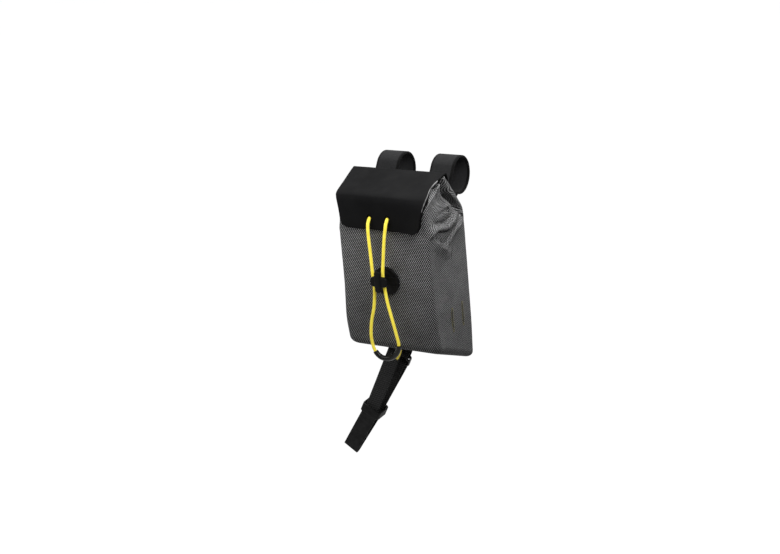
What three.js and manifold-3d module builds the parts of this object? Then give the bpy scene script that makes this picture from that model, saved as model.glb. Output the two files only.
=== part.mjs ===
// Stem bag: a soft pouch that hangs on the rider's side of a handlebar.
// Millimetres, +Z up, +X along the handlebar, -Y toward the rider (the bag's front).
// The origin is on the handlebar's axis, above the middle of the bag.

import * as THREE from 'three';
import { mergeVertices } from 'three/addons/utils/BufferGeometryUtils.js';
import ManifoldModule from 'manifold-3d';

// Driving dimensions.
const CLOTH = 1.4;            // wall of the pouch
const FLAP_THICK = 1.4;       // rubberised flap
const GAP = 0.35;             // clearance between neighbouring pieces
const BAR_RADIUS = 16.4;      // inside of the straps, on a 31.8 mm bar
const STRAP_WIDTH = 25;
const STRAP_THICK = 2.4;
const STRAP_X = { left: -31, right: 28.5 };
const CORD = 3.5;             // elastic cord diameter
const SLEEVE_OUTER = 5.6;
const SLEEVE_BORE = 4.5;
const HOLE = { wide: 4.6, tall: 6.6 };   // oval cord holes in the flap
const WEB_WIDTH = 15;
const WEB_THICK = 1.6;
const TAB_WIDTH = 17;
const STRAP_LEAN = THREE.MathUtils.degToRad(27);   // webbing, from vertical toward -X
const TAB_LEAN = THREE.MathUtils.degToRad(33);     // lower tab, from vertical toward -X
const DISC = { x: 2.4, z: -80.4, radius: 14, thick: 2.4 };
const HOOK = {
  x: 1.8, z: -76.8, proud: 16.5, barWide: 19.8, barTall: 10, barThick: 3.6, ribWide: 6.5, ribTall: 21,
  postX: -0.6, postZ: -77.5, postRadius: 2.8,
};
const BAND = {                // side profile of a bar strap: arc on the bar, then points on the panel
  arcFrom: -118,
  arcTo: 138,
  arcSteps: 22,
  onPanel: [{ y: -27.0, z: -9.0 }, { y: -18.4, z: -20.6 }],
};
const WEB = {                 // webbing under the base, in its leaning frame (y, height along the strap)
  x: -18.8,
  z: -179,
  frontTop: { y: -60.4, z: 30 },
  frontLow: { y: -56.6, z: -64.5 },
  rearLow: { y: -47.4, z: -64.5 },
  rearTop: { y: -41.4, z: -16 },
  barBehind: { y: -40.6, z: -3.4 },
  barAhead: { y: -46.4, z: -3.4 },
  tail: { y: -46.6, z: -20 },
  foldDepth: 5.5,             // drop of the loop's lower end below the two runs
  barDepth: 2.2,              // rise of the turn over the buckle's bar
  rearShift: 0.25,            // sideways shift of the rear run for each millimetre behind the front run
  shiftFrom: -70,             // height where the shift is least, its share there, and where it is full
  shiftLeast: 0.45,
  shiftFull: -10,
};
const KEEPER = {
  x: 0.6, y: -52.0, halfDepth: 7.9, halfWide: 9.4, thick: 1.6, tall: 9.6, low: -69.6,
  corner: 3, innerCorner: 1.6,
};
const TAB = {                 // smooth tab, in its own leaning frame
  x: -50.2,
  z: -240.6,
  thick: 1.5,
  foldDepth: 1.8,
  frontTop: { y: -58.6, z: 5.5 },
  frontMid: { y: -57.6, z: -10 },
  frontLow: { y: -54.2, z: -53 },
  rearLow: { y: -49.8, z: -53 },
  rearMid: { y: -46.6, z: -10 },
  rearTop: { y: -45.4, z: 5.5 },
};
const BUCKLE = {
  x: -15.8, y: -43.5, z: -179.8, lean: THREE.MathUtils.degToRad(25), wide: 20.4, tall: 12, thick: 3,
  corner: 2.4, slotWide: 16.8, slotTall: 8.2, slotRise: 0.1, slotCorner: 1.2,
  lipWide: 12, lipTall: 3, lipThick: 2.2, lipDrop: 1, lipCorner: 1.2,
  tabHalf: 2.6, tabLow: 4.0, tabWide: 14.6, tabThick: 1.4, tabFold: 1.8, tabReach: 12,
};

// The pouch from base to mouth. Each row is one closed section: its front line (yF, zF), its back
// line (yB, zB), the width to the left and right of the middle, corner radii, and the inward tuck of
// each side: its depth and the places along the side, from back 0 to front 1, where it starts, is
// deepest and ends. Then come the steps up to the next row.
const BODY = [
  {
    name: 'base', yF: -87.4, zF: -143.2, yB: -12.6, zB: -176.6, left: 49.5, right: 51.0,
    rF: 8.0, rB: 8.0, tuck: 0.0, from: 0.16, at: 0.3, to: 0.48, steps: 2,
  },
  {
    name: 'low', yF: -89.0, zF: -122.0, yB: -14.0, zB: -141.0, left: 49.2, right: 51.0,
    rF: 6.0, rB: 5.0, tuck: 0.0, from: 0.16, at: 0.3, to: 0.48, steps: 2,
  },
  {
    name: 'waist', yF: -89.4, zF: -86.0, yB: -12.8, zB: -92.0, left: 46.9, right: 49.8,
    rF: 4.2, rB: 4.5, tuck: 0.0, from: 0.14, at: 0.27, to: 0.46, steps: 2,
  },
  {
    name: 'chest', yF: -89.2, zF: -58.0, yB: -13.2, zB: -59.0, left: 46.5, right: 49.4,
    rF: 3.6, rB: 4.5, tuck: 0.0, from: 0.12, at: 0.24, to: 0.44, steps: 4,
  },
  {
    name: 'crease', yF: -89.0, zF: -36.0, yB: -15.4, zB: -37.0, left: 46.3, right: 49.4,
    rF: 3.4, rB: 3.0, tuck: 0.8, from: 0.05, at: 0.11, to: 0.3, steps: 2,
  },
  {
    name: 'bend', yF: -89.0, zF: -24.0, yB: -16.8, zB: -26.0, left: 45.2, right: 49.4,
    rF: 3.4, rB: 3.0, tuck: 6.0, from: 0.055, at: 0.12, to: 0.3, steps: 2,
  },
  {
    name: 'shoulder', yF: -88.8, zF: -11.5, yB: -24.6, zB: -15.2, left: 44.2, right: 49.4,
    rF: 3.4, rB: 3.0, tuck: 15.0, from: 0.09, at: 0.165, to: 0.34, steps: 2,
  },
  {
    name: 'brow', yF: -87.2, zF: -5.4, yB: -31.0, zB: -6.7, left: 44.2, right: 49.2,
    rF: 3.4, rB: 3.0, tuck: 20.0, from: 0.15, at: 0.245, to: 0.43, steps: 2,
  },
  {
    name: 'roof', yF: -81.8, zF: -2.8, yB: -36.0, zB: 0.0, left: 44.4, right: 49.0,
    rF: 3.6, rB: 3.0, tuck: 22.0, from: 0.17, at: 0.29, to: 0.5, steps: 2,
  },
  {
    name: 'lip', yF: -72.0, zF: 0.6, yB: -40.4, zB: 6.0, left: 45.4, right: 48.6,
    rF: 4.0, rB: 3.0, tuck: 22.0, from: 0.18, at: 0.34, to: 0.58, steps: 1,
  },
  {
    name: 'rim', yF: -63.5, zF: 4.4, yB: -45.0, zB: 12.2, left: 46.4, right: 48.2,
    rF: 3.0, rB: 3.0, tuck: 21.0, from: 0.2, at: 0.38, to: 0.64, steps: 0,
  },
];
const BASE_ROUND = 7;         // radius where the walls turn into the base
const SIDE_BULGE = 1.6;       // soft outward swell of the sides at mid height

// Creases in the cloth. On a side face the run is (a, z) = (y, z); on the front it is (x, z).
// Depth is inward; a negative depth is a raised ridge.
const CREASES = [
  { face: 'side', a0: -89, z0: -34, a1: -76, z1: -30, depth: 2.2, width: 3.0 },
  { face: 'side', a0: -76, z0: -30, a1: -48, z1: -33, depth: 2.6, width: 3.2 },
  { face: 'side', a0: -48, z0: -33, a1: -22, z1: -26, depth: 2.8, width: 3.4 },
  { face: 'side', a0: -70, z0: -21, a1: -46, z1: -19, depth: -2.2, width: 8.0 },
  { face: 'side', a0: -60, z0: -41, a1: -34, z1: -35, depth: -1.4, width: 5.0 },
  { face: 'side', a0: -26, z0: -37, a1: -58, z1: -50, depth: 1.8, width: 4.5 },
  { face: 'side', a0: -79, z0: -43, a1: -54, z1: -59, depth: 1.4, width: 5.0 },
  { face: 'front', a0: -3, z0: -32, a1: 0, z1: -64, depth: -1.0, width: 4.0 },
  { face: 'front', a0: 6, z0: -30, a1: 5, z1: -62, depth: 1.0, width: 4.0 },
  { face: 'front', a0: 13, z0: -32, a1: 9, z1: -64, depth: -1.0, width: 4.0 },
];

// The flap's middle surface, from the lap on the back panel over the top to its front edge, with the
// flap's width to the left and right of the middle at each station, and how far its right edge
// stands off the pouch there.
const FLAP = [
  { name: 'lap', y: -35.6, z: 1.6, left: 46.5, right: 46.5, lift: 0.0 },
  { name: 'lapTop', y: -43.6, z: 12.2, left: 49.0, right: 49.0, lift: 0.0 },
  { name: 'ridge', y: -46.4, z: 14.7, left: 49.4, right: 49.4, lift: 0.0 },
  { name: 'slopeTop', y: -50.6, z: 13.9, left: 49.2, right: 48.8, lift: 0.1 },
  { name: 'slopeMid', y: -69.0, z: 7.9, left: 47.4, right: 46.2, lift: 0.3 },
  { name: 'slopeLow', y: -86.4, z: 2.2, left: 45.6, right: 50.6, lift: 1.8 },
  { name: 'fold', y: -90.3, z: -1.2, left: 44.4, right: 50.8, lift: 3.0 },
  { name: 'dropTop', y: -91.2, z: -6.0, left: 43.4, right: 49.2, lift: 4.4 },
  { name: 'dropMid', y: -91.3, z: -14.0, left: 42.4, right: 46.4, lift: 5.0 },
  { name: 'dropLow', y: -91.3, z: -22.4, left: 41.7, right: 44.6, lift: 4.8 },
  { name: 'corner', y: -91.3, z: -27.6, left: 41.3, right: 44.2, lift: 4.0 },
  { name: 'edge', y: -91.3, z: -30.2, left: 41.0, right: 43.8, lift: 3.4 },
];
const LIFT_FROM = 0.45;       // share of the right half where the lift starts
const FLAP_CORNER = 8;        // rounding of the two free corners
const CORD_HOLES = { left: { x: -9.4, z: -18.6 }, right: { x: 9.7, z: -18.2 } };

// The cord from the left flap hole, behind the hook, round the low bend and back to the right hole.
const CORD_RUN = [
  { name: 'leftHole', x: -9.4, y: -90.5, z: -18.0 },
  { name: 'leftOut', x: -9.4, y: -93.0, z: -19.4 },
  { name: 'leftClear', x: -9.4, y: -95.3, z: -22.2 },
  { name: 'leftOver', x: -9.3, y: -96.6, z: -26.6 },
  { name: 'leftUpper', x: -8.8, y: -97.2, z: -36.0 },
  { name: 'leftMid', x: -7.4, y: -98.4, z: -55.0 },
  { name: 'leftHook', x: -6.0, y: -99.9, z: -73.0 },
  { name: 'leftUnder', x: -6.0, y: -100.2, z: -84.0 },
  { name: 'leftFree', x: -6.4, y: -102.4, z: -102.0 },
  { name: 'leftBow', x: -9.8, y: -103.6, z: -119.5 },
  { name: 'leftLow', x: -10.9, y: -104.0, z: -136.0 },
  { name: 'leftSleeve', x: -7.9, y: -104.0, z: -147.6 },
  { name: 'bendLeft', x: -1.6, y: -104.0, z: -153.2 },
  { name: 'bendRight', x: 8.0, y: -104.0, z: -152.8 },
  { name: 'rightSleeve', x: 15.6, y: -104.0, z: -146.8 },
  { name: 'rightSleeveTop', x: 18.4, y: -104.0, z: -138.4 },
  { name: 'rightLow', x: 16.4, y: -103.8, z: -127.0 },
  { name: 'rightBow', x: 13.0, y: -103.2, z: -113.0 },
  { name: 'rightFree', x: 8.6, y: -101.8, z: -97.0 },
  { name: 'rightUnder', x: 5.8, y: -100.2, z: -83.0 },
  { name: 'rightHook', x: 4.8, y: -99.9, z: -73.0 },
  { name: 'rightMid', x: 6.0, y: -98.4, z: -55.0 },
  { name: 'rightUpper', x: 8.2, y: -97.2, z: -35.2 },
  { name: 'rightOver', x: 9.3, y: -96.6, z: -26.2 },
  { name: 'rightClear', x: 9.6, y: -95.3, z: -21.8 },
  { name: 'rightOut', x: 9.7, y: -93.0, z: -19.0 },
  { name: 'rightHole', x: 9.7, y: -90.5, z: -17.6 },
];
const CORD_TAIL = [
  { name: 'atSleeve', x: 17.8, y: -99.2, z: -144.8 },
  { name: 'middle', x: 15.8, y: -99.2, z: -150.0 },
  { name: 'cutEnd', x: 13.1, y: -99.4, z: -155.0 },
];
const SLEEVE_FROM = 'leftSleeve';
const SLEEVE_TO = 'rightSleeveTop';

// Helpers that turn the tables into closed surfaces.
const wasm = await ManifoldModule();
wasm.setup();

function solidOf(geometry) {
  const bare = geometry.clone();
  bare.deleteAttribute('normal');
  bare.deleteAttribute('uv');
  const merged = mergeVertices(bare, 1e-4);
  return new wasm.Manifold(new wasm.Mesh({
    numProp: 3,
    vertProperties: new Float32Array(merged.attributes.position.array),
    triVerts: new Uint32Array(merged.index.array),
  }));
}

function geometryOf(solid) {
  const mesh = solid.getMesh();
  const geometry = new THREE.BufferGeometry();
  const points = [];
  for (let i = 0; i < mesh.vertProperties.length; i += mesh.numProp) {
    points.push(mesh.vertProperties[i], mesh.vertProperties[i + 1], mesh.vertProperties[i + 2]);
  }
  geometry.setAttribute('position', new THREE.Float32BufferAttribute(points, 3));
  geometry.setIndex([...mesh.triVerts]);
  return geometry;
}

function meshGeometry(points, faces) {
  const geometry = new THREE.BufferGeometry();
  geometry.setAttribute('position', new THREE.Float32BufferAttribute(points.flat(), 3));
  geometry.setIndex(faces.flat());
  return geometry;
}

function blend(a, b, t) {
  return a + (b - a) * t;
}

function bell(d) {
  return d < 1 ? 0.5 + 0.5 * Math.cos(Math.PI * d) : 0;
}

function quads(faces, rowA, rowB, count, closed) {
  const last = closed ? count : count - 1;
  for (let k = 0; k < last; k += 1) {
    const n = (k + 1) % count;
    faces.push([rowA + k, rowA + n, rowB + n], [rowA + k, rowB + n, rowB + k]);
  }
}

// Rows between two table rows follow a smooth curve through their neighbours.
function smoothRows(table, keys) {
  const rows = [];
  table.forEach((row, i) => {
    const next = table[i + 1];
    const steps = next ? row.steps : 1;
    for (let s = 0; s < steps; s += 1) {
      const t = s / steps;
      const sample = {};
      keys.forEach((key) => {
        const p1 = row[key];
        const p2 = next ? next[key] : p1;
        const p0 = i > 0 ? table[i - 1][key] : p1;
        const p3 = i + 2 < table.length ? table[i + 2][key] : p2;
        const m1 = (p2 - p0) / 2;
        const m2 = (p3 - p1) / 2;
        const t2 = t * t;
        const t3 = t2 * t;
        sample[key] = (2 * t3 - 3 * t2 + 1) * p1 + (t3 - 2 * t2 + t) * m1
          + (3 * t2 - 2 * t3) * p2 + (t3 - t2) * m2;
      });
      rows.push(sample);
    }
  });
  return rows;
}

// The pouch.
const KEYS = ['yF', 'zF', 'yB', 'zB', 'left', 'right', 'rF', 'rB', 'tuck', 'from', 'at', 'to'];
const SEGMENTS = { back: 6, corner: 3, behindTuck: 2, halfTuck: 4, aheadTuck: 5, front: 10 };

function creaseShift(face, a, z) {
  let shift = 0;
  CREASES.filter((c) => c.face === face).forEach((c) => {
    const da = c.a1 - c.a0;
    const dz = c.z1 - c.z0;
    const t = THREE.MathUtils.clamp(((a - c.a0) * da + (z - c.z0) * dz) / (da * da + dz * dz), 0, 1);
    const d = Math.hypot(a - c.a0 - t * da, z - c.z0 - t * dz);
    shift += c.depth * bell(d / (c.width * 2));
  });
  return shift;
}

// One side of a section, from the middle of the back round to the middle of the front.
function sideLine(row, inset, side, sign) {
  const half = row[side] - inset;
  const rF = Math.max(row.rF - inset, 1.2);
  const rB = Math.max(row.rB - inset, 1.2);
  const depth = row.yB - row.yF;
  const line = [];
  const put = (x, y) => line.push([sign * x, y, blend(row.zB, row.zF, (row.yB - y) / depth)]);
  for (let k = 0; k < SEGMENTS.back / 2; k += 1) {
    put((half - rB) * (k / (SEGMENTS.back / 2)), row.yB);
  }
  for (let k = 0; k < SEGMENTS.corner; k += 1) {
    const a = (k / SEGMENTS.corner) * Math.PI / 2;
    put(half - rB + rB * Math.sin(a), row.yB - rB + rB * Math.cos(a));
  }
  const lipB = row.from - inset / depth;
  const lipF = row.to + inset / depth;
  const stops = [rB / depth, lipB, row.at, lipF, 1 - rF / depth];
  const counts = [SEGMENTS.behindTuck, SEGMENTS.halfTuck, SEGMENTS.halfTuck, SEGMENTS.aheadTuck];
  counts.forEach((count, part) => {
    for (let k = 0; k < count; k += 1) {
      const q = blend(stops[part], stops[part + 1], k / count);
      const reach = q < row.at ? row.at - lipB : lipF - row.at;
      put(half - row.tuck * bell(Math.abs(q - row.at) / reach), row.yB - q * depth);
    }
  });
  for (let k = 0; k < SEGMENTS.corner; k += 1) {
    const a = (k / SEGMENTS.corner) * Math.PI / 2;
    put(half - rF + rF * Math.cos(a), row.yF + rF - rF * Math.sin(a));
  }
  for (let k = 0; k < SEGMENTS.front / 2; k += 1) {
    put((half - rF) * (1 - k / (SEGMENTS.front / 2)), row.yF);
  }
  put(0, row.yF);
  return line;
}

// One closed section, counter-clockwise from above, starting at the middle of the back.
function section(row, inset) {
  const left = sideLine(row, inset, 'left', -1);
  const right = sideLine(row, inset, 'right', 1).reverse();
  return [...left, ...right.slice(1, -1)];
}

// The soft shape of the faces: swell of the sides and the creases.
function soften(point, row) {
  const [x, y, z] = point;
  const depth = row.yB - row.yF;
  const q = (row.yB - y) / depth;
  const onSide = bell(Math.abs(q - 0.5) / 0.62);
  const height = bell(Math.abs(z + 100) / 62);
  const sideShift = SIDE_BULGE * onSide * height - creaseShift('side', y, z) * onSide;
  const half = x < 0 ? row.left : row.right;
  const sideShare = THREE.MathUtils.smoothstep(Math.abs(x), half * 0.55, half * 0.9);
  const frontShare = q > 0.5 ? 1 - THREE.MathUtils.smoothstep(Math.abs(x), half * 0.5, half * 0.8) : 0;
  return [
    x + Math.sign(x) * sideShift * sideShare,
    y + creaseShift('front', x, z) * frontShare * (q > 0.9 ? 1 : 0),
    z,
  ];
}

function bodyRows(inset) {
  const rows = smoothRows(BODY, KEYS);
  const lines = rows.map((row, i) => {
    const before = rows[Math.max(i - 1, 0)];
    const after = rows[Math.min(i + 1, rows.length - 1)];
    const turn = (y, z, sign) => {
      const dy = after[y] - before[y];
      const dz = after[z] - before[z];
      const length = Math.hypot(dy, dz);
      return { y: sign * dz / length, z: -sign * dy / length };
    };
    const front = turn('yF', 'zF', 1);
    const back = turn('yB', 'zB', -1);
    return {
      ...row,
      yF: row.yF + front.y * inset,
      zF: row.zF + front.z * inset,
      yB: row.yB + back.y * inset,
      zB: row.zB + back.z * inset,
    };
  });
  return lines;
}

function bodySurface(inset) {
  const rows = bodyRows(inset);
  const first = rows[0];
  const round = BASE_ROUND - inset;
  const rings = [];
  const shrink = (row, by, drop) => ({
    ...row,
    yF: row.yF + by,
    yB: row.yB - by,
    left: row.left - by,
    right: row.right - by,
    rF: Math.max(row.rF - by * 0.5, 2),
    rB: Math.max(row.rB - by * 0.5, 2),
    zF: blend(row.zF, row.zB, by / (row.yB - row.yF)) - drop,
    zB: blend(row.zB, row.zF, by / (row.yB - row.yF)) - drop,
  });
  const baseSteps = [
    [30, round], [18, round], [round, round], [round * 0.5, round * 0.866], [round * 0.134, round * 0.5],
  ];
  baseSteps.forEach(([by, drop]) => rings.push(section(shrink(first, by, drop), inset)));
  rows.forEach((row) => rings.push(section(row, inset).map((p) => soften(p, row))));
  return rings;
}

function buildBody() {
  const outer = bodySurface(0);
  const inner = bodySurface(CLOTH);
  const count = outer[0].length;
  const points = [...outer.flat(), ...inner.flat()];
  const faces = [];
  const innerStart = outer.length * count;
  for (let i = 0; i + 1 < outer.length; i += 1) {
    quads(faces, i * count, (i + 1) * count, count, true);
    quads(faces, innerStart + (i + 1) * count, innerStart + i * count, count, true);
  }
  quads(faces, (outer.length - 1) * count, innerStart + (outer.length - 1) * count, count, true);
  [[0, outer[0], false], [innerStart, inner[0], true]].forEach(([start, ring, up]) => {
    const middle = [0, 1, 2].map((axis) => ring.reduce((sum, p) => sum + p[axis], 0) / count);
    const centre = points.length;
    points.push(middle);
    for (let k = 0; k < count; k += 1) {
      const n = (k + 1) % count;
      faces.push(up ? [start + k, start + n, centre] : [start + n, start + k, centre]);
    }
  });
  return meshGeometry(points, faces);
}

// The flap: a bent sheet with rounded free corners and two cord holes.
function buildFlap() {
  const columns = 12;
  const path = [];
  FLAP.forEach((row, i) => {
    const next = FLAP[i + 1];
    path.push(row);
    if (next) {
      const middle = {};
      ['y', 'z', 'left', 'right', 'lift'].forEach((key) => {
        middle[key] = blend(row[key], next[key], 0.5);
      });
      path.push(middle);
    }
  });
  const rowsOf = (side) => path.map((row, i) => {
    const before = path[Math.max(i - 1, 0)];
    const after = path[Math.min(i + 1, path.length - 1)];
    const dy = after.y - before.y;
    const dz = after.z - before.z;
    const length = Math.hypot(dy, dz);
    const ny = dz / length;
    const nz = -dy / length;
    const y = row.y + ny * side * FLAP_THICK / 2;
    const z = row.z + nz * side * FLAP_THICK / 2;
    return { ...row, y, z, ny, nz };
  });
  const rows = { top: rowsOf(1), under: rowsOf(-1) };
  const edge = FLAP[FLAP.length - 1];
  const sheet = (set) => set.map((row) => {
    const line = [];
    for (let k = 0; k <= columns; k += 1) {
      const u = (k / columns) * 2 - 1;
      const spread = Math.sign(u) * (1 - (1 - Math.abs(u)) ** 1.25);
      const fromEdge = row.z - edge.z;
      const cut = row.y < -80 && fromEdge < FLAP_CORNER
        ? FLAP_CORNER - Math.sqrt(Math.max(FLAP_CORNER ** 2 - (FLAP_CORNER - fromEdge) ** 2, 0)) : 0;
      const raise = row.lift * Math.max((spread - LIFT_FROM) / (1 - LIFT_FROM), 0) ** 2;
      const half = (u < 0 ? row.left : row.right) - cut;
      line.push([spread * half, row.y + row.ny * raise, row.z + row.nz * raise]);
    }
    return line;
  });
  const top = sheet(rows.top);
  const under = sheet(rows.under);
  const count = columns + 1;
  const points = [...top.flat(), ...under.flat()];
  const faces = [];
  const base = top.length * count;
  for (let i = 0; i + 1 < top.length; i += 1) {
    quads(faces, (i + 1) * count, i * count, count, false);
    quads(faces, base + i * count, base + (i + 1) * count, count, false);
    [[0, -1], [columns, 1]].forEach(([k, way]) => {
      const a = i * count + k;
      const b = (i + 1) * count + k;
      faces.push(...(way > 0
        ? [[a, b, base + b], [a, base + b, base + a]]
        : [[b, a, base + a], [b, base + a, base + b]]));
    });
  }
  const lastRow = (top.length - 1) * count;
  quads(faces, 0, base, count, false);
  quads(faces, base + lastRow, lastRow, count, false);
  let solid = solidOf(meshGeometry(points, faces));
  Object.values(CORD_HOLES).forEach((hole) => {
    const drill = new THREE.CylinderGeometry(HOLE.wide / 2, HOLE.wide / 2, 8, 12);
    drill.scale(1, 1, HOLE.tall / HOLE.wide);
    drill.translate(hole.x, -91.3, hole.z);
    solid = solid.subtract(solidOf(drill));
  });
  return geometryOf(solid);
}

// A round tube along a curve.
function tube(curve, radius, steps, sides) {
  const shape = new THREE.Shape();
  for (let k = 0; k < sides; k += 1) {
    const a = (k / sides) * Math.PI * 2;
    if (k === 0) {
      shape.moveTo(radius * Math.cos(a), radius * Math.sin(a));
    } else {
      shape.lineTo(radius * Math.cos(a), radius * Math.sin(a));
    }
  }
  shape.closePath();
  return new THREE.ExtrudeGeometry(shape, { steps, bevelEnabled: false, extrudePath: curve });
}

// A strap of even thickness along an open line in a plane, extruded across its width.
function strapProfile(line, thick) {
  const left = [];
  const right = [];
  line.forEach((p, i) => {
    const before = line[Math.max(i - 1, 0)];
    const after = line[Math.min(i + 1, line.length - 1)];
    const d = new THREE.Vector2(after.x - before.x, after.y - before.y).normalize();
    left.push(new THREE.Vector2(p.x - d.y * thick / 2, p.y + d.x * thick / 2));
    right.push(new THREE.Vector2(p.x + d.y * thick / 2, p.y - d.x * thick / 2));
  });
  return new THREE.Shape([...left, ...right.reverse()]);
}

function extrudeAcross(shape, width) {
  const geometry = new THREE.ExtrudeGeometry(shape, {
    depth: width,
    bevelEnabled: false,
    curveSegments: 8,
  });
  geometry.translate(0, 0, -width / 2);
  return geometry;
}

const stemBag = new THREE.Group();

function addPiece(name, geometry, colour, roughness, metalness, parent = stemBag) {
  const material = new THREE.MeshStandardMaterial({ color: colour, roughness, metalness });
  const mesh = new THREE.Mesh(geometry, material);
  mesh.name = name;
  parent.add(mesh);
  return mesh;
}

addPiece('bag_body', buildBody(), 0x4a4a4a, 0.85, 0);
addPiece('lid_flap', buildFlap(), 0x1c1c1c, 0.7, 0);

// The elastic cord, the rubber sleeve on its low bend and the cut end that sticks out of the sleeve.
const cordPoints = CORD_RUN.map((p) => new THREE.Vector3(p.x, p.y, p.z));
const cordCurve = new THREE.CatmullRomCurve3(cordPoints, false, 'centripetal');
addPiece('shock_cord', tube(cordCurve, CORD / 2, 76, 8), 0xf2dc3c, 0.8, 0);

class PartOfCurve extends THREE.Curve {
  constructor(whole, t0, t1) {
    super();
    this.whole = whole;
    this.t0 = t0;
    this.t1 = t1;
  }

  getPoint(t, target = new THREE.Vector3()) {
    return target.copy(this.whole.getPoint(blend(this.t0, this.t1, t)));
  }
}

function placeOnCord(name) {
  return CORD_RUN.findIndex((p) => p.name === name) / (CORD_RUN.length - 1);
}

function buildSleeve() {
  const ring = (radius, sides) => {
    const points = [];
    for (let k = 0; k < sides; k += 1) {
      const a = (k / sides) * Math.PI * 2;
      points.push(new THREE.Vector2(radius * Math.cos(a), radius * Math.sin(a)));
    }
    return points;
  };
  const shape = new THREE.Shape(ring(SLEEVE_OUTER / 2, 12));
  shape.holes.push(new THREE.Path(ring(SLEEVE_BORE / 2, 12)));
  const run = new PartOfCurve(cordCurve, placeOnCord(SLEEVE_FROM), placeOnCord(SLEEVE_TO));
  return new THREE.ExtrudeGeometry(shape, { steps: 16, bevelEnabled: false, extrudePath: run });
}
addPiece('cord_sleeve', buildSleeve(), 0x161616, 0.45, 0);

const tailCurve = new THREE.CatmullRomCurve3(CORD_TAIL.map((p) => new THREE.Vector3(p.x, p.y, p.z)));
addPiece('cord_tail', tube(tailCurve, CORD / 2, 4, 8), 0xf2dc3c, 0.8, 0);

// The cord hook: a disc on the front panel, a post and a crosswise bar with a raised rib.
function roundedBlock(width, height, corner, depth) {
  const shape = new THREE.Shape();
  const x = width / 2 - corner;
  const y = height / 2 - corner;
  shape.absarc(x, y, corner, 0, Math.PI / 2);
  shape.absarc(-x, y, corner, Math.PI / 2, Math.PI);
  shape.absarc(-x, -y, corner, Math.PI, Math.PI * 1.5);
  shape.absarc(x, -y, corner, Math.PI * 1.5, Math.PI * 2);
  const geometry = new THREE.ExtrudeGeometry(shape, { depth, bevelEnabled: false, curveSegments: 5 });
  geometry.rotateX(Math.PI / 2);
  return geometry;
}

function buildHook() {
  const discBack = -89.4 - GAP;
  const front = discBack - HOOK.proud;
  const disc = new THREE.CylinderGeometry(DISC.radius, DISC.radius, DISC.thick, 32);
  disc.translate(DISC.x, discBack - DISC.thick / 2, DISC.z);
  const post = new THREE.CylinderGeometry(HOOK.postRadius, HOOK.postRadius, HOOK.proud - 2.5, 16);
  post.translate(HOOK.postX, discBack - 1 - (HOOK.proud - 2.5) / 2, HOOK.postZ);
  const bar = roundedBlock(HOOK.barWide, HOOK.barTall, HOOK.barTall * 0.42, HOOK.barThick);
  bar.translate(HOOK.x, front + HOOK.barThick + 0.8, HOOK.z);
  const rib = roundedBlock(HOOK.ribWide, HOOK.ribTall, HOOK.ribWide * 0.4, HOOK.barThick - 1);
  rib.translate(HOOK.x, front + HOOK.barThick - 1, HOOK.z);
  return geometryOf([disc, post, bar, rib].map(solidOf).reduce((a, b) => a.add(b)));
}
addPiece('cord_hook', buildHook(), 0x141414, 0.4, 0);

// The bar straps: closed bands round the bar that run onto the leaning top of the back panel.
function acrossX(geometry) {
  const turn = new THREE.Matrix4().makeBasis(
    new THREE.Vector3(0, 1, 0), new THREE.Vector3(0, 0, 1), new THREE.Vector3(1, 0, 0));
  return geometry.applyMatrix4(turn);
}

function buildBarStrap() {
  const line = [];
  const radius = BAR_RADIUS + STRAP_THICK / 2;
  for (let k = 0; k <= BAND.arcSteps; k += 1) {
    const a = THREE.MathUtils.degToRad(blend(BAND.arcFrom, BAND.arcTo, k / BAND.arcSteps));
    line.push(new THREE.Vector2(radius * Math.cos(a), radius * Math.sin(a)));
  }
  BAND.onPanel.forEach((p) => line.push(new THREE.Vector2(p.y, p.z)));
  const offset = (by) => line.map((p, i) => {
    const before = line[(i + line.length - 1) % line.length];
    const after = line[(i + 1) % line.length];
    const d0 = p.clone().sub(before).normalize();
    const d1 = after.clone().sub(p).normalize();
    const n = new THREE.Vector2(d0.y + d1.y, -d0.x - d1.x).normalize();
    const reach = by / Math.max(n.x * d0.y - n.y * d0.x, 0.5);
    return p.clone().addScaledVector(n, reach);
  });
  const shape = new THREE.Shape(offset(STRAP_THICK / 2));
  shape.holes.push(new THREE.Path(offset(-STRAP_THICK / 2)));
  return acrossX(extrudeAcross(shape, STRAP_WIDTH));
}
Object.entries(STRAP_X).forEach(([side, x]) => {
  addPiece('bar_strap_' + side, buildBarStrap(), 0x262626, 0.8, 0).position.x = x;
});

// The strap under the base, in a group that leans with it. Profiles are (y, height along the strap).
function baseHeight(y) {
  const [base] = BODY;
  const slope = (base.zB - base.zF) / (base.yB - base.yF);
  return base.zF - BASE_ROUND + slope * (y - base.yF);
}

// Takes away everything above a plane just under the base.
function trimUnderBase(geometry, group) {
  const cutter = new THREE.BoxGeometry(120, 160, 60);
  const slope = baseHeight(1) - baseHeight(0);
  const middle = -52;
  const matrix = new THREE.Matrix4().makeRotationX(Math.atan(slope));
  matrix.setPosition(0, middle, baseHeight(middle) - GAP + 30 * Math.cos(Math.atan(slope)));
  matrix.elements[13] -= 30 * Math.sin(Math.atan(slope));
  cutter.applyMatrix4(matrix);
  group.updateMatrixWorld(true);
  cutter.applyMatrix4(group.matrixWorld.clone().invert());
  return geometryOf(solidOf(geometry).subtract(solidOf(cutter)));
}

function turnPoints(from, to, radius, up, steps) {
  const points = [];
  for (let k = 0; k <= steps; k += 1) {
    const a = Math.PI * (k / steps);
    points.push(new THREE.Vector2(
      blend(from.y, to.y, 0.5 - 0.5 * Math.cos(a)),
      blend(from.z, to.z, k / steps) + (up ? 1 : -1) * radius * Math.sin(a)));
  }
  return points;
}

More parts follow.
